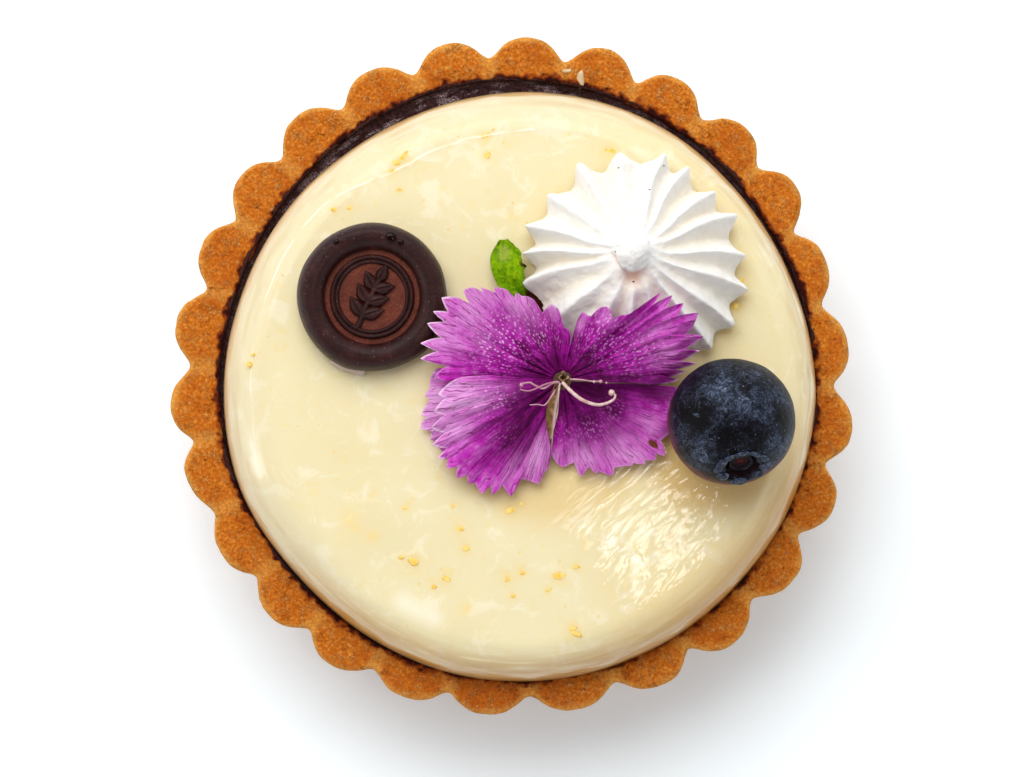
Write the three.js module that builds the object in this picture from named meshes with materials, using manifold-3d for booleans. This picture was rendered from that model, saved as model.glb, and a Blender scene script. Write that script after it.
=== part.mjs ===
// A blueberry tartlet: a fluted shortcrust case filled with dark blueberry compote, a glazed disc of lemon
// cream laid on it a little off centre, and on the cream a chocolate seal, a piped meringue, one blueberry,
// a leaf and a pink dianthus flower whose petals lean on their neighbours.
// Millimetres, +Z up. The origin is the middle of the tartlet's outline, on the surface it stands on, and +Y
// is its back. The places below are measured from the case's axis.
import * as THREE from "three";
import { mergeVertices } from "three/addons/utils/BufferGeometryUtils.js";
import Module from "manifold-3d";

const TURN = 2 * Math.PI;
const GAP = 0.3; // between pieces that rest on each other

// Case: round lobes, narrow notches, walls that lean out from the base.
// Pressed by hand, so each scallop has its own [bearing in degrees, reach of its crest, reach of the notch
// after it].
const SCALLOPS = [
  [6, 41.7, 39.6],
  [20.5, 41.6, 39.4],
  [34.5, 42.8, 40.6],
  [47, 42.9, 40.4],
  [61, 43.1, 40.4],
  [74, 43.1, 40.6],
  [87.5, 43.1, 40.3],
  [101, 43.1, 40.2],
  [115, 42.8, 40.0],
  [129.5, 42.8, 39.9],
  [143.5, 42.6, 39.9],
  [157, 42.5, 40.2],
  [170.5, 42.6, 40.3],
  [185, 42.8, 40.7],
  [197.5, 42.4, 40.7],
  [211, 42.1, 40.3],
  [224.5, 42.1, 39.9],
  [237.5, 42.0, 39.8],
  [251.5, 41.6, 39.6],
  [265, 41.6, 39.4],
  [281, 41.7, 39.6],
  [296, 42.1, 40.0],
  [310, 42.5, 40.3],
  [324.5, 42.8, 40.3],
  [338, 42.8, 40.0],
  [351.5, 42.4, 39.3],
];
const STEPS_PER_SCALLOP = 8;
const BASE_NOTCH_RADIUS = 34.6;
const BASE_SCALLOP_DEPTH = 1.9;
const NOTCH_ROUNDING = 0.07; // as a share of one scallop's pitch
const LOBE_FULLNESS = 2.2; // 2 for a round lobe, and more for a flatter one
const CASE_HEIGHT = 19;
const RIM_ROUNDING = 1.0;
const FLOOR_THICKNESS = 3;
const OPENING_RADIUS = 37.6;
const FLOOR_RADIUS = 33;

// Compote: it fills the case to just under the rim.
const COMPOTE_TOP = 17.4;

// Cream disc.
const CREAM_X = 0.84;
const CREAM_Y = -0.67;
const CREAM_RADIUS = 36.45;
const CREAM_HEIGHT = 9.2;
const CREAM_BOTTOM = COMPOTE_TOP + GAP;
const CREAM_TOP = CREAM_BOTTOM + CREAM_HEIGHT;
const TOPPING_Z = CREAM_TOP + GAP;

// Chocolate seal: a round outer ring, a sunk floor, a thin inner ring and a raised sprig.
const SEAL_X = -17.1;
const SEAL_Y = 9.3;
const SEAL_RADIUS = 9.1;
const SEAL_HEIGHT = 3.0;
const SEAL_FLOOR = 1.5;
const SEAL_FLOOR_RADIUS = 5.7;
const INNER_RING_RADIUS = 4.85;
const SEAL_LEAN = THREE.MathUtils.degToRad(2);

// Meringue: a piped star.
const MERINGUE_X = 14.8;
const MERINGUE_Y = 12.9;
const MERINGUE_RADIUS = 13.7;
const MERINGUE_HEIGHT = 11.6;
const RIDGE_BEARINGS = [5, 26, 42, 61, 74, 97, 118, 140, 160, 174, 189, 218, 244, 268, 290, 313, 329, 348];
const STEPS_PER_RIDGE = 4;
const RIDGE_DEPTH = 0.2; // of the radius
const PEAK_LEAN = new THREE.Vector2(-0.3, 1.2); // how far the tip leans to the right and back

// Blueberry: its crown faces forward.
const BERRY_X = 26.2;
const BERRY_Y = -6.3;
const BERRY_RADIUS = 7.65;
const BERRY_POLAR_RADIUS = 7.45;
const BERRY_SIDES = 25;
const CROWN_RADIUS = 2.6;
const CROWN_HEIGHT = 0.8;
const CROWN_LOBES = 5;
const CROWN_LEAN = THREE.MathUtils.degToRad(53);
const CROWN_BEARING = THREE.MathUtils.degToRad(-77);

// Flower.
const FLOWER_X = 6.0;
const FLOWER_Y = -1.1;
const CALYX_RADIUS = 1.0;
const CALYX_TOP = 31.9;
const PETAL_THICKNESS = 0.36;
const PETAL_COLUMNS = 16;
const PETAL_ROWS = 4;
const PETAL_ARCH = 0.8; // under 1, the petals rise first and level out later
const TOOTH_SHARE = 0.09; // of the petal's length

// from and to are the bearings of the petal's two sides in degrees, and waist is how far its second side
// comes in at the calyx. root is its height there. reach is its length and edge its height, in even steps
// from one side to the other.
const PETALS = {
  petal_back_left: {
    from: 80,
    to: 178,
    waist: 0,
    root: 30.4,
    reach: [5.6, 9.1, 11.2, 14.6, 17.4, 17.7, 14.8],
    edge: [32.6, 33.0, 33.0, 32.6, 31.6, 31.3, 31.0],
  },
  petal_back_right: {
    from: 2,
    to: 75,
    waist: 0,
    root: 31.2,
    reach: [14.0, 17.2, 17.6, 15.9, 10.4, 9.5, 7.0],
    edge: [31.4, 33.2, 35.4, 36.8, 36.6, 35.6, 33.4],
  },
  petal_front_left: {
    from: 179,
    to: 259,
    waist: 22,
    root: 31.3,
    reach: [11.5, 15.6, 17.4, 17.3, 16.6, 14.9, 9.0],
    edge: [32.6, 32.0, 30.6, 29.4, 28.7, 28.3, 28.3],
  },
  petal_front_right: {
    from: 261,
    to: 357,
    waist: 0,
    root: 29.8,
    reach: [8.5, 11.2, 12.3, 13.6, 15.2, 13.9, 13.8],
    edge: [28.2, 28.1, 28.1, 28.2, 28.6, 28.9, 29.2],
  },
  petal_under_left: {
    from: 174,
    to: 214,
    waist: 0,
    root: 28.8,
    reach: [15.0, 16.3, 17.0, 17.3, 17.7, 17.5, 16.4],
    edge: [28.2, 28.0, 27.9, 27.9, 27.9, 27.9, 28.0],
  },
};

// Leaf: its tip points back, and its other end lies under a petal.
const LEAF_TIP = new THREE.Vector2(-0.9, 16.4);
const LEAF_END = new THREE.Vector2(0.8, 7.0);
const LEAF_WIDTH = 3.9;
const LEAF_THICKNESS = 0.5;

const wasm = await Module();
wasm.setup();

// The same uneven value from -1 to 1 each time for the same index and seed.
function uneven(index, seed) {
  const value = Math.sin(index * 12.9898 + seed * 78.233) * 43758.5453;
  return 2 * (value - Math.floor(value)) - 1;
}

// A smooth value between evenly spaced ones, for share from 0 to 1.
function between(values, share) {
  const curve = new THREE.CatmullRomCurve3(values.map((value, i) => new THREE.Vector3(i, value, 0)));
  return curve.getPoint(share).y;
}

// The geometry with only its positions left, and shared corners merged.
function bare(geometry) {
  geometry.deleteAttribute("normal");
  geometry.deleteAttribute("uv");
  return mergeVertices(geometry, 1e-4);
}

const asDrawn = (radius, share, height) => [radius, height];
const evenly = (share) => share * TURN;

// A profile of [radius, height] turned about +Z. shape may move each point: it takes the radius, the share
// of the turn, the height and the point's place in the profile, and returns the new radius and height.
// bearing is the angle at each share of the turn.
function turned(profile, sides, shape = asDrawn, bearing = evenly) {
  const outline = profile.map(([radius, height]) => new THREE.Vector2(radius, height));
  const geometry = new THREE.LatheGeometry(outline, sides);
  const position = geometry.getAttribute("position");
  for (let side = 0; side <= sides; side++) {
    const share = (side % sides) / sides;
    const angle = bearing(share);
    profile.forEach(([radius, height], ring) => {
      const [r, h] = radius === 0 ? [0, height] : shape(radius, share, height, ring);
      position.setXYZ(side * profile.length + ring, r * Math.cos(angle), r * Math.sin(angle), h);
    });
  }
  return bare(geometry);
}

// A thin curved sheet. place takes the share across, from 0 to 1, and the share along, and returns the
// middle of the sheet there.
function sheet(columns, rows, thickness, place) {
  const geometry = new THREE.BoxGeometry(1, 1, 1, columns, rows, 1);
  const position = geometry.getAttribute("position");
  for (let i = 0; i < position.count; i++) {
    const at = place(0.5 - position.getX(i), 0.5 + position.getY(i));
    position.setXYZ(i, at.x, at.y, at.z + Math.sign(position.getZ(i)) * (thickness / 2));
  }
  return bare(geometry);
}

// A round rod along a smooth curve through points.
function rod(points, radius, steps, sides = 6) {
  const section = new THREE.Shape().absarc(0, 0, radius, 0, TURN);
  const path = new THREE.CatmullRomCurve3(points);
  const options = { steps, curveSegments: sides, extrudePath: path, bevelEnabled: false };
  return bare(new THREE.ExtrudeGeometry(section, options));
}

function solid(geometry) {
  const mesh = new wasm.Mesh({
    numProp: 3,
    vertProperties: new Float32Array(geometry.getAttribute("position").array),
    triVerts: new Uint32Array(geometry.index.array),
  });
  return new wasm.Manifold(mesh);
}

// Several overlapping geometries joined into one.
function joined(geometries) {
  const [first, ...rest] = geometries.map(solid);
  const mesh = rest.reduce((whole, piece) => whole.add(piece), first).getMesh();
  const geometry = new THREE.BufferGeometry();
  geometry.setAttribute("position", new THREE.BufferAttribute(new Float32Array(mesh.vertProperties), 3));
  geometry.setIndex(new THREE.BufferAttribute(new Uint32Array(mesh.triVerts), 1));
  return geometry;
}

function piece(name, geometry, color, roughness) {
  const material = new THREE.MeshStandardMaterial({ color, roughness, metalness: 0 });
  const mesh = new THREE.Mesh(geometry, material);
  mesh.name = name;
  return mesh;
}

// Raises or lowers a mesh so that its lowest point is at height.
function rest(mesh, height) {
  mesh.updateMatrixWorld(true);
  const box = new THREE.Box3().setFromObject(mesh, true);
  mesh.position.z += height - box.min.z;
  return mesh;
}

// How far a lobe stands out, from 0 in the rounded notch beside it to 1 at its crest. phase is the angle
// counted in scallops.
function lobe(phase) {
  const fromNotch = (gap) => Math.hypot(gap, NOTCH_ROUNDING) - NOTCH_ROUNDING;
  const gap = 0.5 - Math.abs(phase - Math.round(phase));
  return 1 - (1 - fromNotch(gap) / fromNotch(0.5)) ** LOBE_FULLNESS;
}

// The value at a place in a ring of them, on a straight line between its two neighbours.
function around(values, place) {
  const before = Math.floor(place);
  const share = place - before;
  const at = (i) => values[(i + values.length) % values.length];
  return at(before) * (1 - share) + at(before + 1) * share;
}

function crust() {
  const bearings = SCALLOPS.map(([bearing]) => bearing);
  const crests = SCALLOPS.map(([, crest]) => crest);
  const notches = SCALLOPS.map(([, , notch]) => notch);
  const meanNotch = notches.reduce((sum, notch) => sum + notch) / notches.length;
  const outer = CASE_HEIGHT - RIM_ROUNDING;
  // Each point is [radius, height], and its kind tells how far the scallops stand out there.
  const profile = [
    [0, 0, "round"],
    [BASE_NOTCH_RADIUS, 0, "base"],
    [BASE_NOTCH_RADIUS + 0.9, 0.9, "base"],
    [meanNotch, outer, "rim"],
    [meanNotch - 0.7, CASE_HEIGHT, "rim"],
    [OPENING_RADIUS + 0.6, CASE_HEIGHT - 0.2, "round"],
    [OPENING_RADIUS, outer, "round"],
    [FLOOR_RADIUS, FLOOR_THICKNESS, "round"],
    [0, FLOOR_THICKNESS, "round"],
  ];
  const scallop = (radius, share, height, ring) => {
    const kind = profile[ring][2];
    if (kind === "round") return [radius, height];
    const phase = share * SCALLOPS.length;
    const notch = around(notches, phase - 0.5);
    const depth = kind === "base" ? BASE_SCALLOP_DEPTH : around(crests, phase) - notch;
    const drift = (notch - meanNotch) * (kind === "base" ? 0.5 : 1);
    return [radius + drift + depth * lobe(phase), height];
  };
  const bearing = (share) => {
    const phase = share * SCALLOPS.length;
    const next = [...bearings.slice(1), bearings[0] + 360];
    const before = Math.floor(phase);
    return THREE.MathUtils.degToRad(bearings[before] + (next[before] - bearings[before]) * (phase - before));
  };
  const geometry = turned(profile, SCALLOPS.length * STEPS_PER_SCALLOP, scallop, bearing);
  return piece("crust", geometry, 0xc0762f, 0.85);
}

function compote() {
  const profile = [
    [0, FLOOR_THICKNESS + GAP],
    [FLOOR_RADIUS - GAP, FLOOR_THICKNESS + GAP],
    [OPENING_RADIUS - 2 * GAP, COMPOTE_TOP - 0.2],
    [OPENING_RADIUS - 1.4, COMPOTE_TOP],
    [0, COMPOTE_TOP],
  ];
  return piece("compote", turned(profile, 52), 0x3a1f24, 0.3);
}

function cream() {
  const profile = [
    [0, 0],
    [CREAM_RADIUS - 0.9, 0],
    [CREAM_RADIUS - 0.3, 0.5],
    [CREAM_RADIUS, 2.2],
    [CREAM_RADIUS - 0.3, 4.0],
    [CREAM_RADIUS - 1.0, 6.2],
    [CREAM_RADIUS - 2.2, 7.8],
    [CREAM_RADIUS - 3.7, 8.75],
    [CREAM_RADIUS - 5.4, CREAM_HEIGHT],
    [0, CREAM_HEIGHT],
  ];
  const mesh = piece("cream_disc", turned(profile, 64), 0xf9edc6, 0.2);
  mesh.position.set(CREAM_X, CREAM_Y, CREAM_BOTTOM);
  return mesh;
}

// A sprig in low relief on the seal's floor: a curved stem with leaves in pairs and one at its tip.
function sprig() {
  const stem = [
    new THREE.Vector3(-1.6, -3.5, SEAL_FLOOR),
    new THREE.Vector3(-0.5, -0.8, SEAL_FLOOR + 0.05),
    new THREE.Vector3(0.8, 1.9, SEAL_FLOOR),
  ];
  const curve = new THREE.CatmullRomCurve3(stem);
  const leaf = (share, side) => {
    const geometry = new THREE.SphereGeometry(1, 6, 4);
    geometry.scale(1.2, 0.62, 0.5);
    const along = curve.getTangent(share);
    const bearing = Math.atan2(along.y, along.x) + side * 0.9;
    const root = curve.getPoint(share);
    const offset = side === 0 ? 0.9 : 1.2;
    geometry.rotateZ(bearing);
    geometry.translate(root.x + offset * Math.cos(bearing), root.y + offset * Math.sin(bearing), SEAL_FLOOR);
    return bare(geometry);
  };
  const leaves = [leaf(1, 0)];
  for (const share of [0.25, 0.55, 0.85]) leaves.push(leaf(share, 1), leaf(share, -1));
  return [rod(stem, 0.32, 5), ...leaves];
}

function seal() {
  const ringMiddle = (SEAL_RADIUS + SEAL_FLOOR_RADIUS) / 2 - 0.1;
  const profile = [
    [0, 0],
    [SEAL_RADIUS - 0.2, 0],
    [SEAL_RADIUS, 0.6],
    [SEAL_RADIUS - 0.25, 1.8],
    [SEAL_RADIUS - 1.0, 2.7],
    [ringMiddle, SEAL_HEIGHT],
    [SEAL_FLOOR_RADIUS + 0.5, 2.5],
    [SEAL_FLOOR_RADIUS, SEAL_FLOOR],
    [INNER_RING_RADIUS + 0.35, SEAL_FLOOR],
    [INNER_RING_RADIUS, SEAL_FLOOR + 0.4],
    [INNER_RING_RADIUS - 0.35, SEAL_FLOOR],
    [0, SEAL_FLOOR],
  ];
  const mesh = piece("chocolate_seal", joined([turned(profile, 36), ...sprig()]), 0x3f2624, 0.4);
  mesh.rotation.x = SEAL_LEAN;
  mesh.position.set(SEAL_X, SEAL_Y, 0);
  return rest(mesh, TOPPING_Z);
}

// Sharp ridges with round valleys between them: 1 on a ridge's crest and 0 in a valley.
function ridge(phase) {
  const across = Math.abs(phase - Math.round(phase)) * 2;
  return (1 - across) ** 1.3;
}

function meringue() {
  // [share of the radius, share of the height, how deep the valleys are there].
  const rings = [
    [0, 0, 0],
    [0.8, 0, 0.8],
    [1, 0.13, 1],
    [0.92, 0.28, 1],
    [0.76, 0.45, 1],
    [0.55, 0.61, 0.9],
    [0.33, 0.74, 0.7],
    [0.15, 0.83, 0.3],
    [0.12, 0.93, 0],
    [0.06, 0.99, 0],
    [0, 1, 0],
  ];
  const profile = rings.map(([radius, height]) => [radius * MERINGUE_RADIUS, height * MERINGUE_HEIGHT]);
  const ridges = RIDGE_BEARINGS.length;
  const pipe = (radius, share, height, ring) => {
    const phase = share * ridges;
    const nearest = Math.round(phase) % ridges;
    const length = 1 + 0.04 * uneven(nearest, 5);
    const valley = RIDGE_DEPTH * rings[ring][2] * (1 - ridge(phase));
    return [radius * length * (1 - valley), height];
  };
  const bearing = (share) => {
    const before = Math.floor(share * ridges);
    const next = before + 1 < ridges ? RIDGE_BEARINGS[before + 1] : RIDGE_BEARINGS[0] + 360;
    const start = RIDGE_BEARINGS[before];
    return THREE.MathUtils.degToRad(start + (next - start) * (share * ridges - before));
  };
  const geometry = turned(profile, ridges * STEPS_PER_RIDGE, pipe, bearing);
  const position = geometry.getAttribute("position");
  const leanFrom = 0.75 * MERINGUE_HEIGHT;
  for (let i = 0; i < position.count; i++) {
    const lean = Math.max(0, position.getZ(i) - leanFrom) / (MERINGUE_HEIGHT - leanFrom);
    position.setX(i, position.getX(i) + PEAK_LEAN.x * lean ** 2);
    position.setY(i, position.getY(i) + PEAK_LEAN.y * lean ** 2);
  }
  const mesh = piece("meringue", geometry, 0xfaf7f0, 0.8);
  mesh.position.set(MERINGUE_X, MERINGUE_Y, TOPPING_Z);
  return mesh;
}

function berry() {
  const profile = [];
  const steps = 9;
  const crownTurn = Math.acos((CROWN_RADIUS + 0.5) / BERRY_RADIUS);
  for (let i = 0; i <= steps; i++) {
    const turn = -Math.PI / 2 + (i / steps) * (Math.PI / 2 + crownTurn);
    const radius = i === 0 ? 0 : BERRY_RADIUS * Math.cos(turn);
    profile.push([radius, BERRY_POLAR_RADIUS * Math.sin(turn)]);
  }
  const shoulder = profile[steps][1];
  const tipRing = profile.length;
  profile.push([CROWN_RADIUS, shoulder + CROWN_HEIGHT]);
  profile.push([CROWN_RADIUS - 0.6, shoulder]);
  profile.push([CROWN_RADIUS - 0.9, shoulder - 0.7]);
  profile.push([0, shoulder - 0.5]);
  const crown = (radius, share, height, ring) => {
    const notch = 0.5 - 0.5 * Math.cos(CROWN_LOBES * share * TURN);
    return [radius, ring === tipRing ? height - 0.7 * CROWN_HEIGHT * notch : height];
  };
  const mesh = piece("blueberry", turned(profile, BERRY_SIDES, crown), 0x2b303f, 0.5);
  mesh.rotation.set(0, CROWN_LEAN, CROWN_BEARING, "ZYX");
  mesh.position.set(BERRY_X, BERRY_Y, 0);
  return rest(mesh, TOPPING_Z);
}

// One toothed petal, as a fan about the flower's middle.
function petal(name, { from, to, waist, root, reach, edge }) {
  const start = CALYX_RADIUS + GAP;
  const place = (across, along) => {
    const width = to - from - waist * (1 - along ** 2);
    const bearing = THREE.MathUtils.degToRad(from + width * across);
    const tooth = Math.round(across * PETAL_COLUMNS) % 2 === 0 ? 1 : 1 - TOOTH_SHARE;
    const length = between(reach, across) * (along === 1 ? tooth : 1);
    const radius = start + (length - start) * along;
    const height = root + (between(edge, across) - root) * along ** PETAL_ARCH;
    return new THREE.Vector3(radius * Math.cos(bearing), radius * Math.sin(bearing), height);
  };
  const mesh = piece(name, sheet(PETAL_COLUMNS, PETAL_ROWS, PETAL_THICKNESS, place), 0xb23fa6, 0.6);
  mesh.position.set(FLOWER_X, FLOWER_Y, 0);
  return mesh;
}

function calyx() {
  const profile = [
    [0, TOPPING_Z],
    [CALYX_RADIUS * 0.8, TOPPING_Z],
    [CALYX_RADIUS, (TOPPING_Z + CALYX_TOP) / 2],
    [CALYX_RADIUS * 0.8, CALYX_TOP],
    [0, CALYX_TOP],
  ];
  const mesh = piece("calyx", turned(profile, 12), 0xb9a06a, 0.6);
  mesh.position.set(FLOWER_X, FLOWER_Y, 0);
  return mesh;
}

// A style that rises from the calyx and ends in a small bulb.
function style(name, points, bulb) {
  const end = points[points.length - 1];
  const tip = new THREE.SphereGeometry(bulb, 6, 4);
  tip.translate(end.x, end.y, end.z);
  const mesh = piece(name, joined([rod(points, 0.24, 10), bare(tip)]), 0xe9cdd8, 0.5);
  mesh.position.set(FLOWER_X, FLOWER_Y, CALYX_TOP + GAP);
  return mesh;
}

// A narrow pale sepal that lies on the cream between the two front petals.
function sepal() {
  const length = 6.4;
  const place = (across, along) => {
    const half = 0.65 * Math.sin(Math.PI * (0.12 + 0.8 * along));
    const side = (2 * across - 1) * half;
    const x = side - 0.7 - 0.8 * along;
    return new THREE.Vector3(x, -CALYX_RADIUS - GAP - length * along, 28.2 - 0.7 * along);
  };
  const mesh = piece("sepal", sheet(2, 5, 0.3, place), 0xcbb184, 0.6);
  mesh.position.set(FLOWER_X, FLOWER_Y, 0);
  return mesh;
}

function leaf() {
  const axis = LEAF_END.clone().sub(LEAF_TIP);
  const length = axis.length();
  const place = (across, along) => {
    const half = (LEAF_WIDTH / 2) * Math.sin(Math.PI * (0.16 + 0.72 * along)) ** 0.8;
    const side = (1 - 2 * across) * half;
    return new THREE.Vector3(side, length * (along - 1), LEAF_THICKNESS / 2 + 0.25 * (2 * across - 1) ** 2);
  };
  const mesh = piece("leaf", sheet(4, 7, LEAF_THICKNESS, place), 0x7aa012, 0.45);
  mesh.rotation.z = Math.atan2(-axis.y, -axis.x) - Math.PI / 2;
  mesh.position.set(LEAF_TIP.x, LEAF_TIP.y, 0);
  return rest(mesh, TOPPING_Z);
}

const tartlet = new THREE.Group();
tartlet.add(crust(), compote(), cream(), seal(), meringue(), berry(), leaf(), calyx(), sepal());
for (const [name, shape] of Object.entries(PETALS)) tartlet.add(petal(name, shape));
tartlet.add(
  style(
    "style_curled",
    [
      new THREE.Vector3(0.1, 0, 0),
      new THREE.Vector3(1.4, -1.6, 0.9),
      new THREE.Vector3(3.2, -2.8, 1.3),
      new THREE.Vector3(5.0, -2.9, 1.2),
      new THREE.Vector3(6.0, -1.9, 1.1),
      new THREE.Vector3(5.7, -1.4, 1.0),
    ],
    0.42,
  ),
  style(
    "style_short",
    [
      new THREE.Vector3(-0.6, 0.1, 0),
      new THREE.Vector3(-2.4, -0.35, 0.4),
      new THREE.Vector3(-4.6, -0.6, 0.2),
    ],
    0.36,
  ),
);

// The case is uneven, so the middle of its outline is a little off its axis.
const middle = new THREE.Box3().setFromObject(tartlet, true).getCenter(new THREE.Vector3());
for (const mesh of tartlet.children) mesh.position.sub(new THREE.Vector3(middle.x, middle.y, 0));

export default tartlet;
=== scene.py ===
"""The looks of a blueberry tartlet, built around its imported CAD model.

Shapes are worked out in millimetres in the row's frame, and build() writes them in metres.
"""

import functools
import itertools
import math
import random

import bpy
import numpy as np
from mathutils import Matrix, Vector


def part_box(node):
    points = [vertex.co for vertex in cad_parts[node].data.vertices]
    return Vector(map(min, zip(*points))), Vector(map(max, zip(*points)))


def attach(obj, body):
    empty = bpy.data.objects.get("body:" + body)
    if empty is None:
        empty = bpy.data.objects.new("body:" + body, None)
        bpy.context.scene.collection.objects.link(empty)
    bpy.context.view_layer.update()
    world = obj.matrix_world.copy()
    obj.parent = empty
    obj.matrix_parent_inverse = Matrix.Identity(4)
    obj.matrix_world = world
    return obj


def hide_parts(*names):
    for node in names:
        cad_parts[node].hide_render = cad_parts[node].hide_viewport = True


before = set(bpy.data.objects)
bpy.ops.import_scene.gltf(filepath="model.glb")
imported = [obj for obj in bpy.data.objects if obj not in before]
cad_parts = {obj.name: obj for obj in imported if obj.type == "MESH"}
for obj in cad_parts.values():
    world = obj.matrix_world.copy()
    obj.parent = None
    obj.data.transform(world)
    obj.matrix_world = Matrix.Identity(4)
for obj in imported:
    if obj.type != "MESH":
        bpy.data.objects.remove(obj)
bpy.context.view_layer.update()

MM = 0.001
TURN = 2 * math.pi
RIGHT_ANGLE = math.pi / 2


# ---------------------------------------------------------------- places, from the frame


def corners(node):
    """The lowest and highest corners of a CAD node, in millimetres."""
    low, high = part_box(node)
    return np.array(low) / MM, np.array(high) / MM


def middle(node):
    low, high = corners(node)
    return (low + high) / 2


def bottom(node):
    return corners(node)[0][2]


CASE_AXIS = middle("compote")[:2]
RIM_TOP = 19.0
CASE_FLOOR = 3.0
CREAM_BOTTOM, CREAM_TOP = (corner[2] for corner in corners("cream_disc"))
CREAM_AXIS = CASE_AXIS + (0.84, -0.67)
SEAL = middle("chocolate_seal")
SEAL_BOTTOM = bottom("chocolate_seal")
MERINGUE_AXIS = CASE_AXIS + (14.8, 12.9)
BERRY = np.append(CASE_AXIS + (26.2, -6.3), bottom("blueberry") + 7.15)
FLOWER = middle("calyx")[:2]
SINK = 0.45  # how far the seal presses into the cream


# ---------------------------------------------------------------- numbers


def ease(low, high, value):
    """0 up to low, 1 from high on, and smooth between them. It falls instead if low is above high."""
    share = np.clip((value - low) / (high - low), 0, 1)
    return share * share * (3 - 2 * share)


def window(start, top, fall, end, value):
    """0 up to start, 1 from top to fall, and 0 again from end on."""
    return ease(start, top, value) * ease(end, fall, value)


def bell(gap):
    """1 where gap is 0, and fading out to both sides."""
    return np.exp(-(gap**2))


def strongest(*values):
    """The largest of the values, place by place."""
    return functools.reduce(np.maximum, values)


def blended(a, b, c, d, part):
    """A smooth value between b and c, which have a before them and d after them."""
    return b + part * (c - a + part * (2 * a - 5 * b + 4 * c - d + part * (3 * (b - c) + d - a))) / 2


def between(values, share):
    """A smooth value between evenly spaced ones, for share from 0 to 1."""
    values = np.asarray(values, float)
    place = np.clip(share, 0, 1) * (len(values) - 1)
    cell = np.minimum(np.floor(place).astype(int), len(values) - 2)
    padded = np.concatenate([[2 * values[0] - values[1]], values, [2 * values[-1] - values[-2]]])
    return blended(*(padded[cell + i] for i in range(4)), place - cell)


def looped(values, turn):
    """A smooth value between ones that are evenly spaced around a ring, for turn in rings."""
    values = np.asarray(values, float)
    place = np.mod(turn, 1) * len(values)
    cell = np.floor(place).astype(int)
    return blended(*(values[(cell + i) % len(values)] for i in (-1, 0, 1, 2)), place - cell)


def lattice(cell, seed):
    """The same uneven value from -1 to 1 each time for each whole-numbered cell."""
    x, y, z = (cell[..., i].astype(np.uint32) for i in range(3))
    mixed = x * np.uint32(73856093) ^ y * np.uint32(19349663) ^ z * np.uint32(83492791)
    mixed ^= np.uint32(seed * 40503 + 7)
    mixed = (mixed ^ (mixed >> 15)) * np.uint32(2246822519)
    mixed = (mixed ^ (mixed >> 13)) * np.uint32(3266489917)
    mixed ^= mixed >> 16
    return mixed.astype(float) / 2147483647.5 - 1


def noise(points, size, seed=0, octaves=1):
    """Smooth noise, about -1 to 1, with features about size across."""
    total, weight = 0, 1
    for octave in range(octaves):
        place = points / size + 31.7 * (octave + 1)
        cell = np.floor(place).astype(np.int64)
        part = place - cell
        part = part * part * (3 - 2 * part)
        for step in itertools.product((0, 1), repeat=3):
            share = np.prod(np.where(step, part, 1 - part), axis=-1)
            total = total + weight * share * lattice(cell + np.array(step), seed + octave)
        size, weight = size / 2, weight / 2
    return total


def stacked(x, y, z):
    """Points from their coordinates, each a number or an array."""
    return np.stack(np.broadcast_arrays(x, y, z), -1)


def apart(points, x, y):
    """How far points are from the upright axis at x, y."""
    return np.hypot(points[..., 0] - x, points[..., 1] - y)


def ring_angles(sides):
    return np.arange(sides) / sides * TURN


def turned(radius, angle, height):
    """Points at radii and heights around an upright axis at the origin."""
    return stacked(radius * np.cos(angle), radius * np.sin(angle), height)


def rings(profile, angle):
    """The radii and the heights of rings, from a profile of numbers or of values around the ring."""
    return (np.array([np.broadcast_to(value, angle.shape) for value in column]) for column in zip(*profile))


def swollen(grid, amount):
    """A ring grid with its points moved out along the way they face."""
    around = np.roll(grid, -1, 1) - np.roll(grid, 1, 1)
    across = np.cross(around, np.gradient(grid, axis=0))
    facing = across / np.maximum(np.linalg.norm(across, axis=-1, keepdims=True), 1e-9)
    return grid + facing * amount[..., None]


def tilted(points, lean, bearing):
    """Points turned so that what faced up faces lean radians off, towards bearing."""
    axis = Vector((-math.sin(bearing), math.cos(bearing), 0))
    return points @ np.array(Matrix.Rotation(lean, 3, axis)).T


def spun(points, turn):
    """Points turned around the upright axis at the origin."""
    return points @ np.array(Matrix.Rotation(turn, 3, "Z")).T


# ---------------------------------------------------------------- meshes


def grid_faces(rows, columns, closed):
    """Four-cornered faces over a grid of points. closed joins the last column to the first."""
    row = np.arange(rows - 1)[:, None] * columns
    column = np.arange(columns if closed else columns - 1)[None, :]
    after = (column + 1) % columns
    around = [row + column, row + after, row + columns + after, row + columns + column]
    return np.stack(around, -1).reshape(-1, 4)


def volume(points, faces):
    """Six times the volume that the faces enclose, below 0 if they face inwards."""
    total = 0
    for face in faces:
        a, b, c = (points[face[:, i]] for i in range(3))
        total += np.einsum("ij,ij->", a, np.cross(b, c))
        if face.shape[1] == 4:
            total += np.einsum("ij,ij->", a, np.cross(c, points[face[:, 3]]))
    return total


def build(name, points, faces, finish, replaced=(), fields=None):
    """A piece from points, a list of face arrays and a material. fields are named values at the points."""
    if volume(points - points.mean(0), faces) < 0:
        faces = [face[:, ::-1] for face in faces]
    mesh = bpy.data.meshes.new(name)
    mesh.from_pydata((points * MM).tolist(), [], [row for face in faces for row in face.tolist()])
    for field, values in (fields or {}).items():
        attribute = mesh.attributes.new(field, "FLOAT", "POINT")
        attribute.data.foreach_set("value", np.asarray(values, np.float32))
    mesh.shade_smooth()
    mesh.materials.append(finish)
    piece = bpy.data.objects.new(name, mesh)
    bpy.context.scene.collection.objects.link(piece)
    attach(piece, "root")
    if replaced:
        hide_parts(*replaced)


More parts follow.
